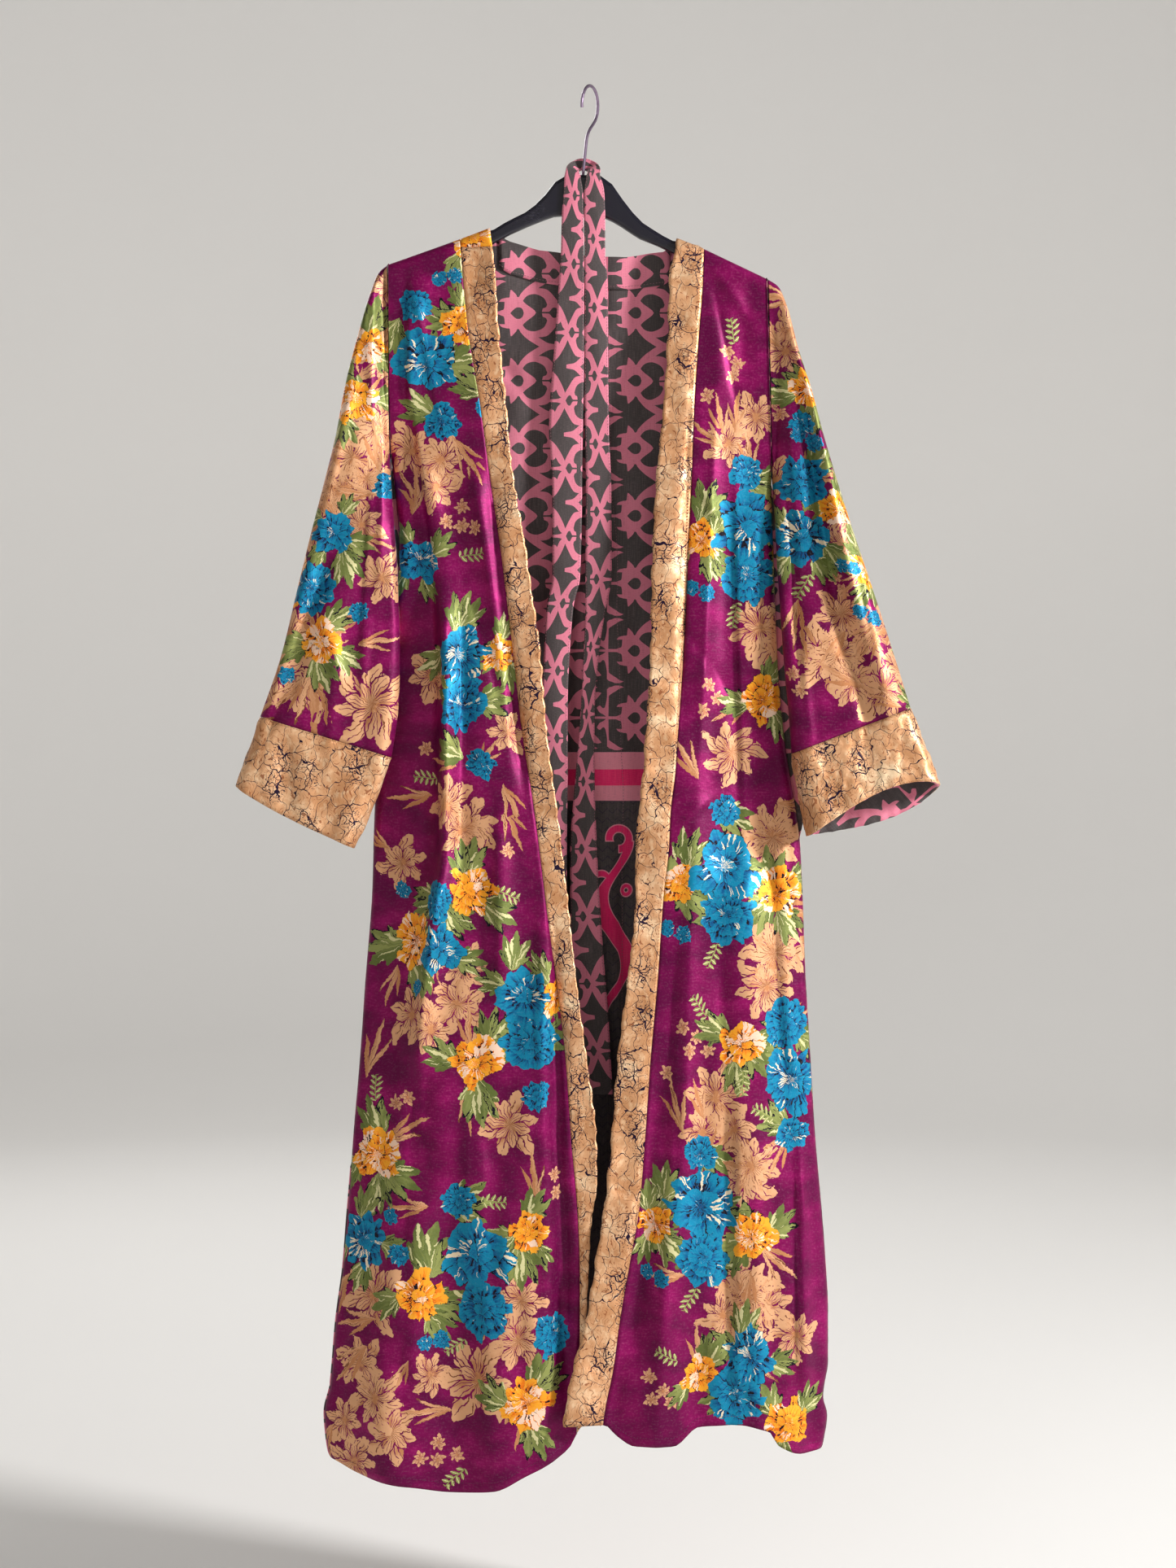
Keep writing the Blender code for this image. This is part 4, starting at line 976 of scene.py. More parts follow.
def tube(sections, side, outer_rounds, inner_rounds, bows=(0, 0)):
    """A flattened tube: each row runs from its outer edge across the front to its inner edge and back."""
    rows = []
    down = sections[-1] - sections[0]
    down = np.array([down[0] + down[2], down[1] + down[3]])
    down = down / np.hypot(*down)
    for number, (outer_x, outer_z, inner_x, inner_z, centre, half_depth) in enumerate(sections):
        length = math.hypot(inner_x - outer_x, inner_z - outer_z)
        outer = np.array(rounding_steps(outer_rounds[number], TUBE_ANGLES))
        inner = length - np.array(rounding_steps(inner_rounds[number], TUBE_ANGLES))[::-1]
        middle = np.linspace(outer[-1], inner[0], SLEEVE_COLUMNS + 1)[1:-1]
        steps = np.concatenate([outer, middle, inner])
        share = steps / length
        bulge = rounded(steps, outer_rounds[number]) * rounded(length - steps, inner_rounds[number])
        x = outer_x + (inner_x - outer_x) * share
        z = outer_z + (inner_z - outer_z) * share
        t = number / (len(sections) - 1)
        lean = np.sin(np.pi * share**CUFF_BOW_SKEW) * t**2
        layers = []
        for facing, bow in zip((-1, 1), bows):
            layer_x = x + down[0] * bow * lean
            layer_z = z + down[1] * bow * lean
            rise = fold_rise(SLEEVE_FOLDS[side], layer_x, layer_z) if facing < 0 else 0
            fine = crease_rise(SLEEVE_CREASES[side], layer_x, layer_z)
            fine = fine + ripple(layer_x, layer_z, SLEEVE_SEED + facing)
            fine = fine + tuck_rise(SLEEVE_TUCKS[side], layer_x, layer_z)
            layer_y = centre + facing * bulge * (half_depth + rise + fine * FINE_ON_SLEEVE)
            layers.append(np.stack([layer_x, layer_y, layer_z], axis=-1))
        rows.append(np.concatenate([layers[0], layers[1][-2:0:-1]]))
    return np.stack(rows)


def belt_grid():
    """The belt from the end of one strand, up, round behind the stem and down the other strand.
    Each row runs from the inner to the outer edge."""
    heights = [row.height * MM for row in BELT_ROWS]
    z = np.linspace(BELT_TOP, heights[-1], BELT_ROWS_EACH)
    shares = np.linspace(0, 1, BELT_COLUMNS + 1)
    y = curve(heights, [row.y * MM for row in BELT_ROWS], z)
    strands = []
    for seed, names in enumerate((("left_inner", "left_edge"), ("right_inner", "right_edge"))):
        inner, outer = (read(BELT_ROWS, name, z)[:, None] for name in names)
        closer = eased(z - BELT_APART, BELT_CALM) * eased(heights[0] - z, BELT_CALM / 6)
        inner = inner + (1 - 2 * seed) * BELT_CLOSER * closer[:, None]
        x = inner + (outer - inner) * shares
        height = np.broadcast_to(z[:, None], x.shape)
        wave = ripple(x, height, BELT_SEED + seed) * BELT_RIPPLE * eased(heights[0] - height, BELT_CALM)
        depth = y[:, None] - BELT_BOW * np.sin(np.pi * shares) - wave
        strands.append(np.stack([x, depth, height], axis=-1))
    turn = []
    for k in range(1, BELT_TURN_STEPS):
        angle = math.pi * (1 - k / BELT_TURN_STEPS)
        wide = BELT_TURN_INNER[0] + (BELT_TURN_OUTER[0] - BELT_TURN_INNER[0]) * shares
        tall = BELT_TURN_INNER[1] + (BELT_TURN_OUTER[1] - BELT_TURN_INNER[1]) * shares
        x = BELT_TURN_MIDDLE[0] + wide * math.cos(angle)
        height = BELT_TURN_MIDDLE[1] + tall * math.sin(angle)
        behind = min(1, math.sin(angle) / BELT_BEHIND_FROM) ** BELT_BEHIND_POWER
        depth = BELT_FRONT + (BELT_BEHIND_STEM - BELT_FRONT) * behind
        turn.append(np.stack([x, np.full_like(x, depth), height], axis=-1))
    return np.concatenate([strands[0][::-1], np.stack(turn), strands[1]])


def puckered(grid, seed, height, axis=0, wrap=False):
    """The cloth of a band or cuff, drawn up in small waves that run across it and die out at its seam."""
    random = np.random.default_rng(seed)
    run = lengths(grid, axis).mean(axis=1 - axis)
    run = run[:, None] if axis == 0 else run[None, :]
    away = lengths(grid, 1 - axis)
    total = np.zeros(grid.shape[:2])
    for _ in range(PUCKER_WAVES):
        turn = 2 * math.pi / (random.uniform(*PUCKER_LENGTHS) * MM)
        if wrap:
            turn = 2 * math.pi * round(turn * run.max() / (2 * math.pi)) / run.max()
        slant = away * turn * random.uniform(-PUCKER_SLANT, PUCKER_SLANT)
        total += np.sin(run * turn + slant + random.uniform(0, 2 * math.pi))
    total = np.tanh(total * PUCKER_SHARE)
    drawn = moved(grid, (height * eased(away, PUCKER_REACH) * (0.5 + 0.5 * total))[..., None], wrap)
    if axis == 0:
        drawn[..., 0] += EDGE_WAVER * total * eased(away, away.max())
    return drawn


def lengths(grid, axis, parts=(0, 1, 2)):
    """The running length of a grid's rows or columns, measured in the parts of its points that are named."""
    steps = np.linalg.norm(np.diff(grid[..., list(parts)], axis=axis), axis=-1)
    padding = [(0, 0), (0, 0)]
    padding[axis] = (1, 0)
    return np.cumsum(np.pad(steps, padding), axis=axis)


def flat_body(grid, column, row=FLAT_ROW):
    """Where each point of a body panel lies on its cloth laid flat, true at one column and one row."""
    run = lengths(grid, 1, [0, 1])
    run = run - run[:, column : column + 1]
    facing = np.sign(grid[:, -1:, 0] - grid[:, :1, 0])
    x = grid[:, column : column + 1, 0] + facing * run
    drop = lengths(grid, 0, [1, 2])
    z = grid[row : row + 1, :, 2] - (drop - drop[row : row + 1])
    z = np.where(np.arange(len(grid))[:, None] > row, grid[..., 2], z)
    return np.stack([x, z], axis=-1)


def flat_tube(grid):
    """Where each point of a tube lies on its cloth laid flat, its last column repeated at the other end.
    The first result is for the front half. The second is for the back half, turned over the outer edge."""
    closed = np.concatenate([grid, grid[:, :1]], axis=1)
    run = lengths(closed, 1)
    last = grid.shape[1] // 2
    middle = last // 2
    heading = (grid[:, last] - grid[:, 0])[:, [0, 2]]
    heading = heading / np.linalg.norm(heading, axis=1, keepdims=True)
    start = grid[:, middle][:, [0, 2]]
    front = run - run[:, middle : middle + 1]
    front = start[:, None] + heading[:, None] * front[..., None]
    back = closed[..., [0, 2]]
    edge = back[-1, 0] - back[0, 0]
    across = np.array([edge[1], -edge[0]]) / np.hypot(*edge)
    return [front, back - 2 * ((back - back[0, 0]) @ across)[..., None] * across]


def linear(red, green, blue):
    """A colour of 0 to 255 as the screen shows it, in the values that a shader takes."""
    shares = [value / 255 for value in (red, green, blue)]
    return tuple(share / 12.92 if share < 0.04045 else ((share + 0.055) / 1.055) ** 2.4 for share in shares)


class Value:
    """A number or a vector on its way through a material, which can be used in sums."""

    def __init__(self, ink, socket):
        self.ink = ink
        self.socket = socket

    def math(self, operation, *values):
        return self.ink.add("ShaderNodeMath", {"operation": operation}, dict(enumerate(values)))

    def __add__(self, other):
        return self.math("ADD", self, other)

    __radd__ = __add__

    def __sub__(self, other):
        return self.math("SUBTRACT", self, other)

    def __rsub__(self, other):
        return self.math("SUBTRACT", other, self)

    def __mul__(self, other):
        return self.math("MULTIPLY", self, other)

    __rmul__ = __mul__

    def __truediv__(self, other):
        return self.math("DIVIDE", self, other)

    def __pow__(self, power):
        return self.math("POWER", self, power)

    def __lt__(self, other):
        return self.math("LESS_THAN", self, other)

    def __gt__(self, other):
        return self.math("GREATER_THAN", self, other)

    def __abs__(self):
        return self.math("ABSOLUTE", self)

    def floor(self):
        return self.math("FLOOR", self)

    def part(self):
        return self.math("FRACT", self)

    def sine(self):
        return self.math("SINE", self)

    def root(self):
        return self.math("SQRT", self)

    def least(self, other):
        return self.math("MINIMUM", self, other)

    def most(self, other):
        return self.math("MAXIMUM", self, other)

    def rise(self, low, high):
        """0 at low and 1 at high, with a soft start and end."""
        values = {"Value": self, "From Min": low, "From Max": high}
        return self.ink.add("ShaderNodeMapRange", {"interpolation_type": "SMOOTHSTEP"}, values)

    def vector(self, operation, *values, out=0):
        values = {0: self, **dict(enumerate(values, 1))}
        return self.ink.add("ShaderNodeVectorMath", {"operation": operation}, values, out)

    def scaled(self, factor):
        return self.ink.add("ShaderNodeVectorMath", {"operation": "SCALE"}, {0: self, "Scale": factor})

    def stretched(self, x, y, z=1.0):
        return self.vector("MULTIPLY", (x, y, z))

    def centred(self):
        """A colour of noise as a shift whose middle is nought."""
        return self.vector("SUBTRACT", (0.5, 0.5, 0.5))

    def axes(self):
        node = self.ink.make("ShaderNodeSeparateXYZ", {}, {0: self})
        return [Value(self.ink, socket) for socket in node.outputs]


class Ink:
    """The node tree of one material."""

    def __init__(self, name):
        self.material = bpy.data.materials.new(name)
        self.material.use_nodes = True
        self.tree = self.material.node_tree
        self.shader = self.tree.nodes["Principled BSDF"]

    def make(self, kind, settings, inputs):
        """Any node: its settings first, then the values or links of its sockets."""
        node = self.tree.nodes.new(kind)
        for name, value in settings.items():
            setattr(node, name, value)
        self.feed(node, inputs)
        return node

    def add(self, kind, settings, inputs, out=0):
        return Value(self, self.make(kind, settings, inputs).outputs[out])

    def feed(self, node, inputs):
        for key, value in inputs.items():
            if isinstance(value, Value):
                self.tree.links.new(value.socket, node.inputs[key])
            elif hasattr(value, "__len__") and len(value) == 3 and node.inputs[key].type == "RGBA":
                node.inputs[key].default_value = (*value, 1)
            else:
                node.inputs[key].default_value = value

    def finish(self, **inputs):
        """Sets the shader's own sockets, named with underscores, and gives the material."""
        self.feed(self.shader, {name.replace("_", " "): value for name, value in inputs.items()})
        return self.material

    def mix(self, factor, first, second):
        """The first colour, or the second where the factor is 1."""
        settings = {"data_type": "RGBA"}
        return self.add("ShaderNodeMix", settings, {0: factor, 6: first, 7: second}, 2)

    def place(self, x, y, z=0.0):
        return self.add("ShaderNodeCombineXYZ", {}, {0: x, 1: y, 2: z})

    def noise(self, place, scale, detail=2.0, out="Fac", ways="2D"):
        values = {"Vector": place, "Scale": scale, "Detail": detail}
        return self.add("ShaderNodeTexNoise", {"noise_dimensions": ways}, values, out)

    def cells(self, place, scale, feature="F1"):
        settings = {"voronoi_dimensions": "2D", "feature": feature}
        return self.add("ShaderNodeTexVoronoi", settings, {"Vector": place, "Scale": scale}, "Distance")

    def curve(self, value, points):
        """A value read from a smooth curve through points whose parts both lie between 0 and 1."""
        node = self.make("ShaderNodeFloatCurve", {}, {"Value": value})
        line = node.mapping.curves[0].points
        line[0].location = points[0]
        line[-1].location = points[-1]
        for point in points[1:-1]:
            line.new(*point)
        for point in line:
            point.handle_type = "AUTO_CLAMPED"
        node.mapping.extend = "HORIZONTAL"
        node.mapping.update()
        return Value(self, node.outputs[0])

    def attribute(self, name):
        return self.add("ShaderNodeAttribute", {"attribute_name": name}, {}, "Vector")

    def solid(self):
        """The place on the object itself, in metres."""
        return self.add("ShaderNodeTexCoord", {}, {}, "Object")

    def flat(self):
        """The place on the cloth laid flat, in millimetres."""
        place = self.add("ShaderNodeUVMap", {"uv_map": "cloth"}, {})
        return place.vector("MULTIPLY", (1 / MM, 1 / MM, 0))

    def bump(self, height, distance, strength=1.0):
        values = {"Height": height, "Distance": distance, "Strength": strength}
        return self.add("ShaderNodeBump", {}, values)


class Flower:
    """One layer of the print: the place inside the nearest flower's circle, a little wavering."""

    def __init__(self, ink, name, waver, fine=2.6):
        place = ink.attribute(name)
        self.seed = place.axes()[2]
        start = place.vector("ADD", ink.place(self.seed * 4.3, self.seed * 2.1))
        shift = ink.noise(start, fine, 3.0, "Color")
        ragged = ink.noise(place, 11.0, 1.0, "Color").centred().scaled(waver * 0.35)
        place = place.vector("ADD", shift.centred().scaled(waver))
        self.place = place.vector("ADD", ragged)
        self.ink = ink
        self.u, self.v, _ = self.place.axes()
        self.apart = self.place.vector("ADD", ink.place(self.seed * 6.1, self.seed * 3.7))
        self.there = self.seed > 0.5
        self.radius = (self.u * self.u + self.v * self.v).root()


def blossom(flower, petals, deep, light, pale, dark, pale_share):
    """A full ragged flower: whole petals in its circle, streaked away from its middle, some of them pale."""
    ink = flower.ink
    shift = ink.place(flower.seed * 6.1, flower.seed * 3.7)
    values = {"Vector": flower.apart, "Scale": petals}
    petal = ink.make("ShaderNodeTexVoronoi", {"voronoi_dimensions": "2D"}, values)
    middle = Value(ink, petal.outputs["Position"]).vector("SUBTRACT", shift)
    chance, other, _ = Value(ink, petal.outputs["Color"]).axes()
    out = flower.radius - middle.vector("LENGTH", out=1)
    edge = ink.cells(flower.apart, petals, "DISTANCE_TO_EDGE")
    heading = ink.place(flower.u / (flower.radius + 0.02), flower.v / (flower.radius + 0.02))
    along = ink.place(flower.radius * 0.16, flower.radius * 0.1)
    streaks = ink.noise(heading.vector("ADD", shift).vector("ADD", along), 8.0, 2.0)
    shown = (middle.vector("LENGTH", out=1) < 0.84) * (flower.radius < 1.08)
    tone = ink.mix((out * petals * 0.9 + (streaks - 0.5) * 2.4 + 0.7).rise(0.0, 1.0), deep, light)
    splash = ((streaks - 0.5) * 2.4 + (pale_share - chance) * 1.2 + edge * 0.5) > 0.36
    tone = ink.mix(splash, tone, pale)
    gap = edge < ((other - 0.55) * 0.12 + (0.5 - streaks) * 0.3)
    shade = (out * petals < -0.2 - other * 0.2) * (streaks < 0.44)
    tone = ink.mix((gap + shade).least(1.0), tone, dark)
    return shown * flower.there, tone


def fan(flower, half_angle, tips, depth, body, shade, vein, line, vein_share):
    """A leaf whose pointed lobes spread from its foot, with streaks that run the same way."""
    ink = flower.ink
    across = flower.u + 0.92
    reach = (across * across + flower.v * flower.v).root() / 1.9
    angle = flower.v.math("ARCTAN2", flower.v, across) / half_angle
    lobe = 1.0 - abs((angle * (tips / 2.0) + 0.5).part() - 0.5) * 2.0
    limit = (1.0 - angle * angle).most(0.0) ** 0.55 * (lobe * depth + (1.0 - depth))
    streaks = ink.noise(ink.place(angle * 4.2 + flower.seed * 7.0, reach * 0.8), 1.0, 2.0)
    inside = reach < limit
    tone = ink.mix((streaks * 1.6 + angle * 0.35).rise(0.5, 1.1), body, shade)
    veins = (streaks - reach * 0.16 - abs(angle) * 0.06) > vein_share
    tone = ink.mix(veins, tone, vein)
    dark = (abs(streaks - 0.40) < 0.018) + (limit - reach < 0.07) * (angle < -0.1) * (streaks < 0.55)
    tone = ink.mix(dark.least(1.0), tone, line)
    return inside * flower.there, tone


# The angle, in radians, that scatters one number after another round a circle
GOLDEN_ANGLE = 2.399


def lily(flower, petals, body, shade, line):
    """A flat flower of pointed petals in two rings, with slits between them and thin lines along them."""
    ink = flower.ink
    angle = flower.v.math("ARCTAN2", flower.v, flower.u)
    wave = ink.noise(flower.apart, 2.6, 2.0)
    shown = 0.0
    tone = body
    for ring, (start, far, wide) in enumerate(((0.5, 0.96, 0.98), (0.0, 0.6, 1.1))):
        turn = angle * (petals / (2 * math.pi)) + (flower.seed - 5.0) * 0.16 * flower.radius + start + petals
        number = turn.floor() - (turn > 2 * petals) * petals
        across = (turn.part() - 0.5) * 2.0 + (wave - 0.5) * 0.5
        reach = (number * GOLDEN_ANGLE + flower.seed * 5.0 + ring).sine() * 0.14 + far
        t = flower.radius / reach
        width = ((t.least(1.0) ** 0.8) * math.pi).sine().most(0.0) ** 0.8 * wide + (0.3 - t).rise(-0.1, 0.3)
        inside = (abs(across) < width) * (t < 1.0)
        edge = (width - abs(across)) < 0.26 - t * 0.1
        vein = abs((across * 2.2 + (wave - 0.5) * 0.8).part() - 0.5) > 0.5 - 0.19 * (1.1 - t)
        cut = (vein * (t > 0.22) * (t < 0.84) * (wave > 0.43)).most(edge * inside * (wave > 0.4) * (t > 0.2))
        petal_tone = ink.mix((wave * 1.3 - t * 0.6 + abs(across) * 0.4).rise(0.3, 0.9), body, shade)
        petal_tone = ink.mix(vein * (wave < 0.47) * (t < 0.7), petal_tone, line)
        tone = ink.mix(inside, tone, petal_tone)
        shown = (shown * (1.0 - inside)).most(inside * (1.0 - cut)) if ring else inside * (1.0 - cut)
    return shown * flower.there, tone


def sprig(flower, body, vein):
    """A thin stem with small pointed leaves on both sides of it."""
    ink = flower.ink
    bend = flower.v + (flower.u * 2.2).sine() * 0.12
    along_stem = flower.u * 2.2 + (bend > 0.0) * 0.5
    number = along_stem.floor()
    out = abs(bend)
    tilt = abs(along_stem.part() - 0.2 - out * 1.1)
    long = 0.66 - abs(number + 0.4) * 0.1
    leaflet = tilt < (((out / long).least(1.0) * math.pi).sine() * 0.34)
    stem = (out < 0.05) * (abs(flower.u) < 0.95)
    inside = (leaflet + stem).least(1.0) * (abs(flower.u) < 1.0) * (out < long)
    tone = ink.mix((tilt < 0.07) * (out > 0.06), body, vein)
    return inside * flower.there, tone


def satin_ground(ink, place, plain, bright, deep, share):
    """A satin ground with painted light: slubs of painted sheen across the cloth, and painted shade, in soft
    patches.
    """
    broad = ink.noise(place.stretched(1.0, 1.5), 0.022, 3.0)
    slub = ink.noise(place.stretched(0.28, 1.0), 0.62, 2.0)
    grain = ink.noise(place.stretched(1.0, 0.8), 0.5, 2.0)
    tone = ink.mix(broad.rise(0.56, 0.34) * 0.6, plain, deep)
    lit = (broad * 0.9 + (slub - 0.5) * 0.12 + (grain - 0.5) * 0.12).rise(0.46, 0.8) * share
    return ink.mix(lit, tone, bright), broad, slub, grain


def satin_finish(ink, colour, broad, slub, grain, printed=0.0):
    """The satin's gloss and its fine unevenness, under any colour."""
    look = settings()
    rough = look.satin_roughness + (slub - 0.5) * 0.2 + (grain - 0.5) * 0.15 + printed * 0.05
    relief = broad * 0.8 + slub * 0.07 + grain * 0.09
    return ink.finish(
        Base_Color=colour, Roughness=rough, Metallic=look.satin_metal, Specular_IOR_Level=0.18,
        Normal=ink.bump(relief, 1.6 * MM, 0.6),
    )


def floral_satin():
    """Magenta satin with painted sheen and painted shade and its print of flowers, from the lowest layer to
    the highest.
    """
    look = settings()
    ink = Ink("floral satin")
    place = ink.flat()
    # The ground carries painted sheen and painted shade in soft patches
    colour, broad, slub, grain = satin_ground(
        ink, place, look.ground, look.ground_light, look.ground_painted_shade, 0.6)
    printed = 0.0
    tan = (look.tan, look.tan_shade, look.tan_line)
    spray = (look.tan, look.tan_shade, look.tan, look.tan_line, 0.9)
    green = (look.leaf, look.leaf_shade, look.leaf_vein, look.dark_line, 0.535)
    blue = (look.blue_deep, look.blue, look.blossom_pale, look.dark_line)
    gold = (look.orange, look.yellow, look.blossom_blush, look.dark_line)
    drawn = (
        lily(Flower(ink, "lily_low", 0.12), 6, *tan),
        lily(Flower(ink, "lily_high", 0.12), 7, *tan),
        fan(Flower(ink, "branch", 0.22, 1.6), 0.5, 3, 0.75, *spray),
        fan(Flower(ink, "leaf_low", 0.2), 1.0, 5, 0.34, *green),
        fan(Flower(ink, "leaf_high", 0.2), 1.0, 5, 0.34, *green),
        sprig(Flower(ink, "sprig", 0.14), look.leaf, look.leaf_vein),
        blossom(Flower(ink, "rose", 0.26), 2.9, *gold, 0.42),
        blossom(Flower(ink, "aster", 0.2), 4.0, *blue, 0.02),
        blossom(Flower(ink, "peony", 0.2), 3.0, *blue, 0.2),
    )
    for shown, tone in drawn:
        colour = ink.mix(shown, colour, tone)
        printed = shown.most(printed)
    # Painted sheen and shade along the fine slubs: the colour is lightened towards a pale highlight and
    # darkened towards the painted shade colour
    worn = (slub - 0.5) * 0.1 + (grain - 0.5) * 0.1
    colour = ink.mix(worn.most(0.0), colour, ink.mix(0.6, colour, (1.0, 0.9, 0.95)))
    colour = ink.mix((0.0 - worn).most(0.0), colour, ink.mix(0.8, colour, look.ground_painted_shade))
    return satin_finish(ink, colour, broad, slub, grain, printed)


# How many cells of each web of cracks lie along a millimetre, and how many brown rings noise is cut into
STAR_CELLS = 1 / 38
WEB_CELLS = 1 / 15
SMALL_WEB_CELLS = 1 / 6.5
RINGS = 7.0


def crackle_satin():
    """Tan satin under dark branching cracks, fine brown lines and small flecks, with painted sheen and
    painted shade on its ground.
    """
    look = settings()
    ink = Ink("crackle satin")
    place = ink.flat()
    # The ground carries painted sheen and painted shade in soft patches
    colour, broad, slub, grain = satin_ground(
        ink, place, look.crackle, look.crackle_light, look.crackle_painted_shade, 1.0)
    bend = ink.noise(place, 0.07, 1.6, "Color").centred()
    bent = place.vector("ADD", bend.scaled(14.0))
    breaks = ink.noise(place.vector("ADD", (90.0, 5.0, 0.0)), 0.2, 2.0)
    star = ink.cells(place.stretched(1.0, 0.7), STAR_CELLS)
    near = (star + (breaks - 0.5) * 0.5).rise(0.46, 0.06)
    web = ink.cells(bent.stretched(1.0, 0.72), WEB_CELLS, "DISTANCE_TO_EDGE")
    small_web = ink.cells(bent.vector("ADD", (31.0, 17.0, 0.0)), SMALL_WEB_CELLS, "DISTANCE_TO_EDGE")
    line = (web < (breaks * 0.026 + near * 0.026 + 0.003)) * (breaks > 0.3 - near * 0.3)
    inner = small_web < (near * 0.07 - 0.01)
    cracks = (line + inner).least(1.0)
    rings = abs((ink.noise(bent.stretched(1.0, 0.55), 0.075, 2.0) * RINGS).part() - 0.5) < 0.06
    brown = rings * (ink.noise(place, 0.19, 1.0) > 0.44)
    # Painted sheen and shade: a fine mottle lightens the tan towards its lit colour and darkens it towards
    # its painted shade colour
    painted_sheen_mottle = ink.noise(place.stretched(1.0, 0.7), 0.17, 3.0)
    colour = ink.mix(painted_sheen_mottle.rise(0.5, 0.75) * 0.4, colour, look.crackle_light)
    colour = ink.mix(painted_sheen_mottle.rise(0.45, 0.25) * 0.3, colour, look.crackle_painted_shade)
    flecks = (ink.cells(place.stretched(0.6, 1.0), 0.42) < 0.2) * (near > 0.12) * (breaks > 0.5)
    colour = ink.mix(brown * 0.8, colour, look.crackle_line)
    colour = ink.mix((cracks + flecks).least(1.0), colour, look.crack)
    return satin_finish(ink, colour, broad, slub, grain)


# One unit of the lining's lattice, in millimetres: its size, and the place of one of its eyes on the cloth
UNIT_ACROSS = 123.0
UNIT_DOWN = 70.5
UNIT_STARTS = 29.0
EYE_AT = (45.0, -232.0)

# The shapes of one unit, pink or charcoal, each drawn over those before it: where it lies across, and its
# lower and upper edge there, as heights above the eye. What lies below the eye is the same, turned over.
Drawn = namedtuple("Drawn", "pink rows")
LATTICE = (
    Drawn(True, (
        (-29, 0, 1.6), (-20, 0, 1.5), (-17, 0, 2.6), (-14, 0, 4), (-12.5, 0, 15.4), (-8, 0, 16.3),
        (-6.8, 0, 24), (-4, 0, 22), (-1, 0, 19), (0.8, 0, 16.4), (4, 0, 20.2), (10, 0, 26.4), (17, 0, 31.4),
        (24, 0, 35.6), (25, 0, 36), (46, 0, 36), (47, 0, 7), (52, 0, 3), (66, 0, 1.4), (94, 0, 1.2),
    )),
    Drawn(True, (
        (-19, 11.5, 11.5), (-17, 11.6, 14), (-14, 11.6, 15.2), (-11, 12, 15.5), (-9, 14, 14),
    )),
    Drawn(False, (
        (-7.4, 0, 0), (-5, 0, 2.5), (-2, 0, 5), (0.5, 0, 6), (3.5, 0, 5.7), (6, 0, 3.6), (7.2, 0, 0),
    )),
    Drawn(False, (
        (6.2, 12.6, 12.6), (8, 10.6, 15.2), (10.2, 8.7, 17.3), (15, 5.2, 19.2), (18.5, 2.4, 19.4),
        (20.5, 0, 19), (25.5, 0, 17), (27, 4.4, 16), (28.8, 5, 14.3), (30.4, 6, 11), (31.3, 8.5, 8.5),
    )),
    Drawn(False, (
        (25, 0, 0), (25.6, 0, 0.8), (33, 0, 0.9), (38.5, 0, 5.4), (45, 0, 0),
    )),
    Drawn(False, (
        (22.3, 25.6, 25.6), (27, 25.2, 28.6), (31.3, 24, 31), (34.5, 21.5, 32), (39.4, 16, 32.6),
        (43.4, 11.2, 33), (47, 6.6, 33.6), (52, 3, 34.6), (56, 2.4, 36), (66, 1.4, 36), (94, 1.2, 36),
    )),
    Drawn(True, (
        (46, 6, 8), (50, 3, 14), (55, 5, 20), (60, 11, 25), (66, 18.6, 29), (72, 24.4, 31.6), (79, 29, 33),
        (84, 32, 32),
    )),
    Drawn(True, (
        (60, 12, 12), (63, 9.5, 18), (67, 9, 20), (72, 11, 21), (78, 15, 24), (84, 21, 27), (88, 26, 26),
    )),
    Drawn(True, (
        (83, 10.4, 10.4), (86, 5.6, 12.6), (90, 3.4, 10), (93, 1, 16), (94, 0, 22),
    )),
    Drawn(True, (
        (-29, 0, 30), (-27.6, 0, 31), (-27.2, 22.5, 31.6), (-24, 25.4, 32.6), (-20, 28, 34),
        (-15.5, 31, 33.8), (-11.5, 32.2, 32.2),
    )),
)

# The border across the foot of the back lining: the heights of its stripes, its zigzags and its scroll
STRIPES = (-691.0, -709.0, -726.0, -742.0)
ZIGZAG = (11.0, 10.0)
SCROLL_MIDDLE = 24.5
SCROLL_SWING = 15.5
SCROLL_TOP = -785.0
SCROLL_TURN = 63.0
SCROLL_FOOT = -985.0


def lattice(ink, place):
    """The pink lattice of leaves and scrolls, as a mask."""
    across, up, _ = place.vector("SUBTRACT", (*EYE_AT, 0.0)).axes()
    across = ((across + UNIT_STARTS) / UNIT_ACROSS).part()
    up = abs((up / UNIT_DOWN + 0.5).part() - 0.5) * (UNIT_DOWN / UNIT_ACROSS)
    pink = 0.0
    for drawn in LATTICE:
        xs = [(row[0] + UNIT_STARTS) / UNIT_ACROSS for row in drawn.rows]
        low, high = (
            ink.curve(across, [(x, row[edge] / UNIT_ACROSS) for x, row in zip(xs, drawn.rows)])
            for edge in (1, 2))
        start, end = xs[0], xs[-1]
        shape = (up > low - 0.0001) * (up < high) * (across > start) * (across < end)
        pink = shape.most(pink) if drawn.pink else (1.0 - shape) * pink
    return pink


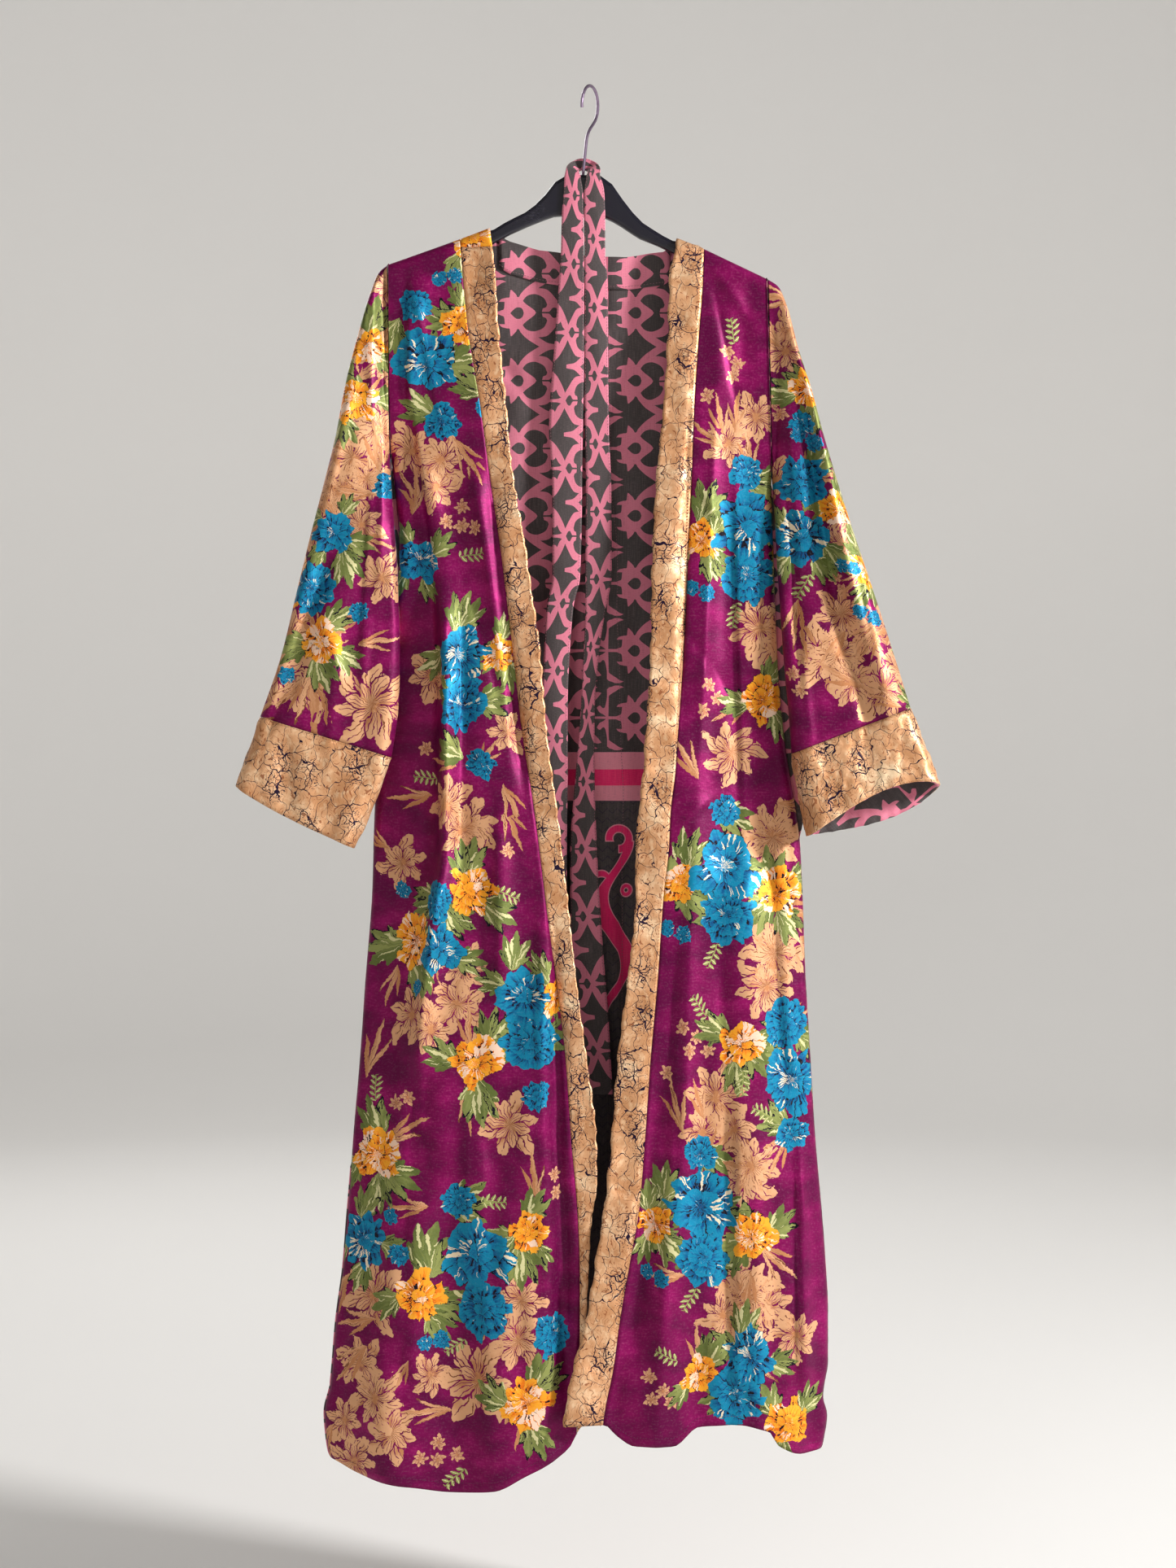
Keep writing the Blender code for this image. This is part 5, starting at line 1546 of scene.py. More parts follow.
def border(ink, place, colour):
    """The lining's colour with the border drawn over its foot."""
    look = settings()
    across, up, _ = place.axes()
    peak = abs((across / ZIGZAG[0]).part() - 0.5) * ZIGZAG[0]
    zigzag = abs(((up + peak) / ZIGZAG[1]).part() - 0.5) > 0.44
    ground = ink.mix(zigzag, look.charcoal, look.crack)
    middle = ((up - SCROLL_TOP) * (math.pi / SCROLL_TURN) + math.pi / 2).sine() * SCROLL_SWING + SCROLL_MIDDLE
    wide = (abs(up + 880.0)).rise(60.0, 6.0) * 6.5 + 4.6
    off = abs(across - middle) - wide
    ribbon = off.most(up - SCROLL_TOP).most(SCROLL_FOOT - up)
    crook = place.vector("DISTANCE", (29.0, -782.0, 0.0), out=1)
    crook = abs(crook - 10.8) - 3.4
    crook = crook.most((-784.0 - up).least(29.0 - across))
    curl = abs(place.vector("DISTANCE", (38.0, -836.0, 0.0), out=1) - 4.6) - 1.7
    spur = place.vector("DISTANCE", (10.0, -824.0, 0.0), out=1) - 8.5
    spur = spur.most(7.8 - place.vector("DISTANCE", (10.0, -829.0, 0.0), out=1))
    drawn = ribbon.least(crook).least(curl).least(spur)
    ground = ink.mix(drawn < 1.2, ground, look.border_light)
    ground = ink.mix(drawn < 0.0, ground, look.border_hot)
    first, second, third, fourth = STRIPES
    colour = ink.mix(up < first, colour, look.border_light)
    colour = ink.mix((up < second) * (up > third), colour, look.border_hot)
    return ink.mix(up < fourth, colour, ground)


def printed_lining(name, bordered=False):
    """Matt slub cloth, charcoal with a pink lattice."""
    look = settings()
    ink = Ink(name)
    place = ink.flat()
    slub = ink.noise(place.stretched(1.0, 0.035), 1.5, 3.0)
    cross = ink.noise(place.stretched(0.12, 1.0), 1.6, 2.0)
    broad = ink.noise(place, 0.02, 2.0)
    colour = ink.mix(lattice(ink, place), look.charcoal, look.lining_pink)
    if bordered:
        colour = border(ink, place, colour)
    lighter = ((slub - 0.5) * 0.8 + (cross - 0.5) * 0.5 + (broad - 0.5) * 0.3 + 0.06).most(0.0)
    darker = ((0.5 - slub) * 0.9 + (0.5 - cross) * 0.7 - 0.04).most(0.0).least(0.5)
    colour = ink.mix(lighter * 0.4, colour, look.lining_haze)
    colour = ink.mix(darker, colour, look.charcoal)
    relief = slub * 0.6 + cross * 0.4
    return ink.finish(
        Base_Color=colour, Roughness=0.72 + (slub - 0.5) * 0.2, Normal=ink.bump(relief, 0.3 * MM, 0.5),
        Sheen_Weight=0.15,
    )


def hanger_plastic():
    """Near black moulded plastic, a little scuffed."""
    look = settings()
    ink = Ink("hanger plastic")
    place = ink.solid()
    scuffs = ink.noise(place.stretched(1.0, 1.0, 3.0), 190.0, 4.0, ways="3D")
    broad = ink.noise(place, 26.0, 3.0, ways="3D")
    colour = ink.mix((scuffs + broad - 1.0).rise(0.12, 0.5) * 0.25, look.plastic, look.plastic_scuff)
    return ink.finish(
        Base_Color=colour, Roughness=0.24 + (broad - 0.5) * 0.12 + (scuffs - 0.5) * 0.1,
        Normal=ink.bump(scuffs, 0.05 * MM, 0.25), Specular_IOR_Level=0.55,
    )


def hook_steel():
    """Drawn wire with fine lines along it and a dull tint."""
    look = settings()
    ink = Ink("hook steel")
    place = ink.solid()
    drawn = ink.noise(place.stretched(1.0, 1.0, 0.06), 2200.0, 2.0, ways="3D")
    worn = ink.noise(place, 120.0, 3.0, ways="3D")
    colour = ink.mix(worn.rise(0.4, 0.75) * 0.5, look.wire, look.wire_worn)
    return ink.finish(
        Base_Color=colour, Metallic=0.85, Roughness=0.34 + (worn - 0.5) * 0.3,
        Normal=ink.bump(drawn, 0.06 * MM, 0.4),
    )


def thread(name, colour):
    """Sewing thread with a fine twist."""
    ink = Ink(name)
    place = ink.solid()
    twist = ink.noise(place, 2600.0, 1.0, ways="3D")
    tone = ink.mix((twist - 0.3) * 0.8, colour, tuple(channel * 0.45 for channel in colour))
    return ink.finish(Base_Color=tone, Roughness=0.55, Normal=ink.bump(twist, 0.08 * MM, 0.6))


def backdrop_paint():
    ink = Ink("backdrop paint")
    place = ink.solid()
    mottle = ink.noise(place, 1.4, 3.0, ways="3D")
    colour = ink.mix((mottle - 0.3) * 0.25, settings().backdrop, settings().backdrop_shade)
    return ink.finish(Base_Color=colour, Roughness=0.9)


def named(name, make, *values):
    """The material of this name, made when it is first asked for."""
    return bpy.data.materials.get(name) or make(*values)


def floral():
    return named("floral satin", floral_satin)


def crackle():
    return named("crackle satin", crackle_satin)


def lining():
    return named("printed lining", printed_lining, "printed lining")


def cloth(name, grid, wall, outside, inside, flats, table=None, seed=0, wrap=False, turned_over=False):
    """A cloth piece: a surface through the grid's points with its print, made solid by an inner wall.
    The flats say where each corner of a face lies on the cloth laid flat, in the first and second part."""
    rows, columns = grid.shape[:2]
    count = columns if wrap else columns - 1
    both = np.meshgrid(np.arange(rows - 1), np.arange(count), indexing="ij")
    row, column = (part.ravel() for part in both)
    beside = (column + 1) % columns
    faces = np.stack([row * columns + column, (row + 1) * columns + column,
                      (row + 1) * columns + beside, row * columns + beside], axis=1)
    around = ((0, 0), (1, 0), (1, 1), (0, 1))
    places = np.stack([
        np.stack([flat[row + down, column + along] for down, along in around], axis=1) for flat in flats])
    corners = places[0]
    if len(flats) > 1:
        front = (column < (columns + 2) // 2 - 1)[:, None, None]
        corners = np.where(front, places[0], places[1])
    if turned_over:
        faces = faces[:, ::-1]
        corners = corners[:, ::-1]
    mesh = bpy.data.meshes.new(name)
    mesh.from_pydata(grid.reshape(-1, 3).tolist(), [], faces.tolist())
    mesh.shade_smooth()
    layer = mesh.uv_layers.new(name="cloth")
    layer.data.foreach_set("uv", corners.astype(np.float32).ravel())
    if table is not None:
        lay_print(mesh, corners, table, seed)
    mesh.materials.append(outside)
    mesh.materials.append(inside)
    piece = put_in_scene(name, mesh)
    solid = piece.modifiers.new("Wall", "SOLIDIFY")
    solid.thickness = wall
    solid.offset = -1
    solid.material_offset = 1
    return piece


def dress(piece, node, grid, wrap=False):
    """Hangs a sheet of cloth under the robe's body and hides the solid that it stands for. The cut of its
    cloth is worked out but not kept.
    """
    flat, area = cut_of(grid, wrap)
    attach(piece, BODY)
    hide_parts(node)


def area_of(grid):
    """The area of a grid of points, in square metres."""
    down = np.diff(grid, axis=0)[:, :-1]
    across = np.diff(grid, axis=1)[:-1]
    return float(np.linalg.norm(np.cross(down, across), axis=-1).sum())


def cut_of(grid, wrap=False):
    """The width, length and area of the cloth that a grid of points needs, laid flat."""
    closed = np.concatenate([grid, grid[:, :1]], axis=1) if wrap else grid
    width = float(lengths(closed, 1)[:, -1].max())
    length = float(lengths(grid, 0)[-1].max())
    return (round(width, 3), round(length, 3)), round(min(area_of(closed), 0.999 * width * length), 4)


def tint(name, description, red, green, blue):
    """A colour that a user may change, given as the screen shows it."""
    return bpy.props.FloatVectorProperty(
        name=name, description=description, subtype="COLOR", size=3, min=0, max=1,
        default=linear(red, green, blue))


def size(name, description, default):
    return bpy.props.FloatProperty(name=name, description=description, default=default, unit="LENGTH")


def share(name, description, default):
    return bpy.props.FloatProperty(name=name, description=description, default=default, min=0)


class RobeSettings(bpy.types.PropertyGroup):
    """The sizes and colours of the robe that a user would change."""

    crease_share: share("Creases", "How deep the finer creases are, as a share of their tables", 1.9)
    ripple_height: size("Ripple", "Height of the cloth's gentle unevenness", 1.0 * MM)
    satin_roughness: share("Satin roughness", "How dull the satin is", 0.46)
    satin_metal: share("Satin sheen", "How far the satin's highlights take its own colour", 0.36)
    stitch_length: size("Stitch length", "Length of one stitch", 2.1 * MM)
    stitch_pitch: size("Stitch pitch", "From the middle of one stitch to the next", 3.2 * MM)
    thread_radius: size("Thread radius", "Half the thickness of a stitch", 0.28 * MM)
    camera_distance: size("Camera distance", "From the camera to the front of the robe", 2.4)
    lamp_share: share("Light", "How bright the lamps are, as a share of their table", 1.0)

    ground: tint("Ground", "Magenta ground of the printed satin", 121, 3, 76)
    # Painted light: a lit and a shaded copy of the magenta ground, mixed into the satin's colour as painted
    # sheen and painted shade
    ground_light: tint("Ground, lit", "The ground where its sheen is bright", 184, 24, 118)
    ground_painted_shade: tint("Ground, deep", "The ground where it is dark", 80, 2, 54)
    tan: tint("Tan", "Lilies and long leaves of the print", 220, 166, 124)
    tan_shade: tint("Tan, shaded", "Their darker parts", 190, 128, 84)
    tan_line: tint("Tan lines", "Thin lines in the tan flowers", 128, 74, 48)
    leaf: tint("Leaf", "Green leaves of the print", 146, 152, 86)
    leaf_shade: tint("Leaf, dark", "Their darker parts", 98, 110, 54)
    leaf_vein: tint("Leaf veins", "Pale streaks in the leaves", 212, 206, 152)
    dark_line: tint("Outline", "Dark outlines in the flowers", 18, 12, 26)
    blue: tint("Blue", "Light part of the blue petals", 14, 134, 172)
    blue_deep: tint("Blue, deep", "Dark part of the blue petals", 8, 78, 132)
    blossom_pale: tint("Cream", "Cream splashes on the blue flowers", 240, 222, 190)
    orange: tint("Orange", "Dark part of the orange petals", 232, 112, 18)
    yellow: tint("Yellow", "Light part of the orange petals", 248, 168, 44)
    blossom_blush: tint("Blush", "Pale splashes on the orange flowers", 250, 214, 188)
    crackle: tint("Crackle", "Tan ground of the bands and cuffs", 222, 168, 124)
    # Painted light: a lit and a shaded copy of the tan ground, mixed into the bands' colour as painted sheen
    # and painted shade
    crackle_light: tint("Crackle, lit", "The tan ground where its sheen is bright", 255, 226, 186)
    crackle_painted_shade: tint("Crackle, deep", "The tan ground where it is dark", 190, 132, 86)
    crackle_line: tint("Crackle lines", "Fine brown lines on the tan ground", 146, 80, 46)
    crack: tint("Crack", "Dark cracks on the tan ground", 34, 20, 46)
    charcoal: tint("Charcoal", "Ground of the lining", 62, 54, 54)
    lining_pink: tint("Lining pink", "Lattice of the lining", 226, 124, 148)
    lining_haze: tint("Lining haze", "The lining's lighter threads", 196, 172, 172)
    border_hot: tint("Border pink", "Strong pink of the lining's border", 255, 8, 110)
    border_light: tint("Border light pink", "Light pink of the lining's border", 246, 146, 166)
    plastic: tint("Plastic", "The hanger", 24, 22, 34)
    plastic_scuff: tint("Scuffs", "Paler scuffs on the hanger", 92, 88, 104)
    wire: tint("Wire", "The hook", 142, 124, 146)
    wire_worn: tint("Worn wire", "The hook where it is dull", 86, 72, 86)
    thread_tan: tint("Tan thread", "Stitching beside the tan bands", 196, 140, 92)
    thread_dark: tint("Dark thread", "Stitching of the satin's hems", 96, 20, 70)
    thread_pink: tint("Lining thread", "Stitching of the lining and the belt", 150, 104, 112)
    backdrop: tint("Backdrop", "Floor and wall", 238, 236, 233)
    backdrop_shade: tint("Backdrop, shaded", "Faint mottling of the floor and wall", 228, 226, 223)


class Step:
    """What the steps that make the robe have in common."""

    bl_options = {"REGISTER"}

    def execute(self, context):
        self.make()
        return {"FINISHED"}


class ROBE_OT_hanger(Step, bpy.types.Operator):
    """Gives the hanger and its hook their finishes"""

    bl_idname = "robe.hanger"
    bl_label = "Hanger"

    def make(self):
        for name, finish in (("hanger", hanger_plastic), ("hanger_hook", hook_steel)):
            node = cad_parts[name]
            node.data.materials.clear()
            node.data.materials.append(finish())


class ROBE_OT_back(Step, bpy.types.Operator):
    """Makes the back, its lining, and the band and facing of its neck"""

    bl_idname = "robe.back"
    bl_label = "Back"

    def make(self):
        grid = back_grid()
        middle = grid.shape[1] // 2
        place = flat_body(grid, middle)
        table = repeated(BACK_REPEATS, CLUSTER, EXTRA_ON_REPEAT)
        seed = BACK_PRINT_SEED
        back = cloth("back_cloth", grid, SATIN_WALL, floral(), lining(), [place], table, seed)
        dress(back, "back", grid)
        sew("hem_stitches", grid, rows=HEM_STITCHES)
        inside = moved(grid, -(SATIN_WALL + LAYER_GAP))
        top = inside[0, :, 0]
        shown = np.flatnonzero((top > LINING_REACH[0]) & (top < LINING_REACH[1]))
        turned_over = len(EDGE_ANGLES) - 1
        part = inside[turned_over:-1, shown]
        bordered = named("bordered lining", printed_lining, "bordered lining", True)
        flat = place[turned_over:-1, shown]
        piece = cloth("back_lining_cloth", part, LINING_WALL, bordered, bordered, [flat])
        dress(piece, "back_lining", part)
        seam = int(np.argmin(np.abs(part[0, :, 0] - LINING_SEAM)))
        inner = -(LINING_WALL + THREAD_LIFT)
        sew("lining_stitches", part, columns=(seam,), lift=inner)
        strip = len(EDGE_ANGLES) + NECK_ROWS
        neck = np.flatnonzero(np.abs(top - NECK_MIDDLE) < NECK_REACH)
        facing = moved(inside, -(LINING_WALL + LAYER_GAP))[1:strip, neck]
        flat = place[1:strip, neck] + FACING_SHIFT
        piece = cloth("neck_facing_cloth", facing, LINING_WALL, lining(), lining(), [flat])
        dress(piece, "neck_facing", facing)
        sew("lining_stitches", facing, rows=(-1,), lift=inner)
        band = moved(grid, LAYER_GAP + SATIN_WALL)[1:strip, neck]
        flat = place[1:strip, neck]
        piece = cloth("neck_band_cloth", band, SATIN_WALL, floral(), lining(), [flat], table, seed)
        dress(piece, "neck_band", band)


class ROBE_OT_fronts(Step, bpy.types.Operator):
    """Makes both fronts and their bands"""

    bl_idname = "robe.fronts"
    bl_label = "Fronts and bands"

    def make(self):
        for front, table in ((RIGHT, RIGHT_FRONT_PRINT), (LEFT, LEFT_FRONT_PRINT)):
            side = front.side
            columns = held_back(side_columns(FRONT_COLUMNS), SEAM_GAP, HALF_GAP)
            grid = front.strip(("side", "seam"), columns, FRONT_ROWS)
            place = flat_body(grid, grid.shape[1] // 2)
            panel = cloth(
                side + "_front_cloth", grid, SATIN_WALL, floral(), lining(), [place], table, FRONT_PRINT_SEED)
            dress(panel, side + "_front", grid)
            sew("hem_stitches", grid, rows=HEM_STITCHES)
            columns = held_back(even_columns(BAND_COLUMNS), HALF_GAP, 0)
            edges = ("seam", "free")
            first = None
            if side == "right":
                top = front.strip(edges, columns, NECK_ROWS, last=BAND_TOP_END + SEAM_GAP)
                place = flat_body(top, 0, 0)
                piece = cloth(
                    "right_band_top_cloth", top, BAND_WALL, floral(), lining(), [place], table,
                    BAND_TOP_PRINT_SEED)
                dress(piece, "right_band_top", top)
                first = BAND_TOP_END
            grid = front.strip(edges, columns, FRONT_ROWS, first=first)
            place = flat_body(grid, 0)
            outwards = grid if side == "right" else grid[:, ::-1]
            outwards = puckered(outwards, BAND_SEEDS[side], front.inward * BAND_PUCKER)
            grid = outwards if side == "right" else outwards[:, ::-1]
            sew("band_stitches", grid, columns=BAND_STITCHES)
            piece = cloth(side + "_band_cloth", grid, BAND_WALL, crackle(), lining(), [place])
            dress(piece, side + "_band", grid)


class ROBE_OT_sleeves(Step, bpy.types.Operator):
    """Makes both sleeves, their cuffs, and the lining in the open mouth of one"""

    bl_idname = "robe.sleeves"
    bl_label = "Sleeves and cuffs"

    def make(self):
        prints = {"right": RIGHT_SLEEVE_PRINT, "left": LEFT_SLEEVE_PRINT}
        tables = {"right": (RIGHT_SLEEVE, RIGHT_CUFF_END), "left": (LEFT_SLEEVE, LEFT_CUFF_END)}
        for side, (rows, cuff_end) in tables.items():
            over = side == "left"
            sections = sleeve_sections(rows)
            t = 1 - eased(np.linspace(0, 1, SLEEVE_ROWS), SLEEVE_ROUND_REACH)
            outer_rounds = SLEEVE_EDGE_ROUND + (SHOULDER_RADIUS - SLEEVE_EDGE_ROUND) * t
            inner_rounds = SLEEVE_EDGE_ROUND + (UNDERARM_ROUND - SLEEVE_EDGE_ROUND) * t
            grid = tube(sections, side, outer_rounds, inner_rounds)
            table = joined_prints(prints[side], repeated(SLEEVE_REPEATS[side], CLUSTER, EXTRA_ON_REPEAT))
            flats = flat_tube(grid)
            wound = {"wrap": True, "turned_over": over}
            piece = cloth(
                side + "_sleeve_cloth", grid, SATIN_WALL, floral(), lining(), flats, table,
                SLEEVE_PRINT_SEED, **wound)
            dress(piece, side + "_sleeve", grid, True)
            rounds = [SLEEVE_EDGE_ROUND] * (CUFF_ROWS + 1)
            grid = tube(cuff_sections(sections[-1], cuff_end), side, rounds, rounds, CUFF_BOWS[side])
            outwards = -1 if over else 1
            grid = puckered(grid, CUFF_SEEDS[side], outwards * CUFF_PUCKER, 1, True)
            sew("band_stitches", grid, rows=CUFF_STITCHES, lift=outwards * THREAD_LIFT, wrap=True)
            cuff = cloth(
                side + "_cuff_cloth", grid, SATIN_WALL, crackle(), lining(), flat_tube(grid), **wound)
            dress(cuff, side + "_cuff", grid, True)
            if over:
                inside = moved(grid, SATIN_WALL + LAYER_GAP, wrap=True)
                flats = flat_tube(inside)
                piece = cloth(
                    "left_sleeve_lining_cloth", inside, LINING_WALL, lining(), lining(), flats, **wound)
                dress(piece, "left_sleeve_lining", inside, True)


class ROBE_OT_belt(Step, bpy.types.Operator):
    """Makes the belt, looped round the stem of the hook"""

    bl_idname = "robe.belt"
    bl_label = "Belt"

    def make(self):
        grid = belt_grid()
        run = lengths(grid, 0).mean(axis=1)
        across = np.linspace(BELT_CUT_FROM, BELT_CUT_FROM + BELT_CUT_WIDTH, grid.shape[1])
        place = np.stack(np.broadcast_arrays(across[None, :], -run[:, None]), axis=-1)
        belt = cloth("belt_cloth", grid, BELT_WALL, lining(), lining(), [place])
        dress(belt, "belt", grid)
        sew("lining_stitches", grid, columns=BELT_STITCHES)


# Rows of stitching, gathered as the pieces are made: the name of each set, and its lines of points
SEWN = {
}


def line_on(grid, axis, place, lift, wrap=False):
    """A line of points over a grid, along its rows or down its columns, at a place counted in grid steps."""
    grid = np.moveaxis(moved(grid, lift, wrap), axis, 0)
    first = min(int(place), len(grid) - 2)
    line = grid[first] + (grid[first + 1] - grid[first]) * (place - first)
    return np.concatenate([line, line[:1]]) if wrap else line


def sew(name, grid, rows=(), columns=(), lift=THREAD_LIFT, wrap=False):
    """Puts rows of stitching on a piece: across it at some rows, and down it at some columns."""
    for axis, places in ((0, rows), (1, columns)):
        for place in places:
            place = place if place >= 0 else grid.shape[axis] - 1 + place
            SEWN.setdefault(name, []).append(line_on(grid, axis, place, lift, wrap))


def stitch_tree():
    """The node tree that lays stitches along lines: a small rounded bar at each pitch, along the line."""
    tree = bpy.data.node_groups.new("stitches", "GeometryNodeTree")
    inputs = {
        "Geometry": "NodeSocketGeometry", "Pitch": "NodeSocketFloat", "Stitch Length": "NodeSocketFloat",
        "Thread Radius": "NodeSocketFloat", "Thread": "NodeSocketMaterial",
    }
    sockets = {
        name: tree.interface.new_socket(name, in_out="INPUT", socket_type=kind)
        for name, kind in inputs.items()
    }
    tree.interface.new_socket("Geometry", in_out="OUTPUT", socket_type="NodeSocketGeometry")
    start, curve_of, spaced, tangent, turned, half, size, bar, placed, real, smooth, painted, end = (
        tree.nodes.new(kind) for kind in (
            "NodeGroupInput", "GeometryNodeMeshToCurve", "GeometryNodeResampleCurve",
            "GeometryNodeInputTangent", "FunctionNodeAlignRotationToVector", "ShaderNodeMath",
            "ShaderNodeCombineXYZ", "GeometryNodeMeshUVSphere", "GeometryNodeInstanceOnPoints",
            "GeometryNodeRealizeInstances", "GeometryNodeSetShadeSmooth", "GeometryNodeSetMaterial",
            "NodeGroupOutput"))
    spaced.mode = "LENGTH"
    turned.axis = "Z"
    half.operation = "MULTIPLY"
    half.inputs[1].default_value = 0.5
    bar.inputs["Segments"].default_value = 6
    bar.inputs["Rings"].default_value = 4
    bar.inputs["Radius"].default_value = 1.0
    for source, target in (
        ((start, "Geometry"), (curve_of, "Mesh")), ((curve_of, "Curve"), (spaced, "Curve")),
        ((start, "Pitch"), (spaced, "Length")), ((tangent, "Tangent"), (turned, "Vector")),
        ((start, "Stitch Length"), (half, 0)), ((start, "Thread Radius"), (size, "X")),
        ((start, "Thread Radius"), (size, "Y")), ((half, 0), (size, "Z")),
        ((spaced, "Curve"), (placed, "Points")), ((bar, "Mesh"), (placed, "Instance")),
        ((turned, "Rotation"), (placed, "Rotation")), ((size, "Vector"), (placed, "Scale")),
        ((placed, "Instances"), (real, "Geometry")), ((real, "Geometry"), (smooth, "Geometry")),
        ((smooth, "Geometry"), (painted, "Geometry")), ((start, "Thread"), (painted, "Material")),
        ((painted, "Geometry"), (end, "Geometry")),
    ):
        tree.links.new(source[0].outputs[source[1]], target[0].inputs[target[1]])
    return tree, {name: socket.identifier for name, socket in sockets.items()}


def stitched(name, lines, tree, identifiers, material):
    """A mesh of stitches along some lines of points."""
    look = settings()
    points = np.concatenate(lines)
    starts = np.cumsum([0] + [len(line) for line in lines])
    edges = [(k, k + 1) for first, last in zip(starts, starts[1:]) for k in range(first, last - 1)]
    mesh = bpy.data.meshes.new(name + "_lines")
    mesh.from_pydata(points.tolist(), edges, [])
    guide = put_in_scene(name + "_lines", mesh)
    modifier = guide.modifiers.new("Stitches", "NODES")
    modifier.node_group = tree
    for socket, value in (("Pitch", look.stitch_pitch), ("Stitch Length", look.stitch_length),
                          ("Thread Radius", look.thread_radius), ("Thread", material)):
        modifier[identifiers[socket]] = value
    shown = guide.evaluated_get(bpy.context.evaluated_depsgraph_get())
    piece = put_in_scene(name, bpy.data.meshes.new_from_object(shown))
    piece.data.name = name
    guide.modifiers.remove(modifier)
    bpy.data.objects.remove(guide)
    return piece


class ROBE_OT_stitching(Step, bpy.types.Operator):
    """Sews the rows of stitching that the other pieces have asked for"""

    bl_idname = "robe.stitching"
    bl_label = "Stitching"

    def make(self):
        look = settings()
        tree, identifiers = stitch_tree()
        for name, colour, slot in (
            ("band_stitches", look.thread_tan, "crackle_satin"),
            ("hem_stitches", look.thread_dark, "floral_satin"),
            ("lining_stitches", look.thread_pink, "printed_lining"),
        ):
            piece = stitched(name, SEWN[name], tree, identifiers, thread(name, colour))
            if not piece.data.polygons:
                raise RuntimeError(name + " is empty")
            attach(piece, BODY)
        bpy.data.node_groups.remove(tree)


# The pale bowl that is floor and backdrop, in metres
BOWL_FLAT = 3.6
BOWL_ROUND = 2.0
BOWL_TOP = 3.6
BOWL_TURNS = 96
BOWL_STEPS = 13
FLOOR_BELOW = 0.16

Lamp = namedtuple("Lamp", "name place aim size power")
LAMPS = table_of(
    Lamp,
    ("key_light", (3.1, -1.5, 0.7), (0, 0, -0.75), 0.6, 185),
    ("fill_light", (-1.6, -2.8, -0.2), (0, 0, -0.8), 1.4, 3),
    ("rear_light", (-1.2, 2.6, 0.9), (0, 0, -0.8), 1.4, 30),
    ("wall_light", (0, 1.6, 2.6), (0, 5.6, 0.2), 1.8, 24),
)
WORLD_STRENGTH = 0.16

# What the camera frames: its middle, height and plane. Then the camera's sensor and where it clips
FRAME_MIDDLE = (-3.8 * MM, -724.5 * MM)
FRAME_HEIGHT = 1.6187
GARMENT_PLANE = -0.02
SENSOR_HEIGHT = 36
CLIP = (0.05, 60)


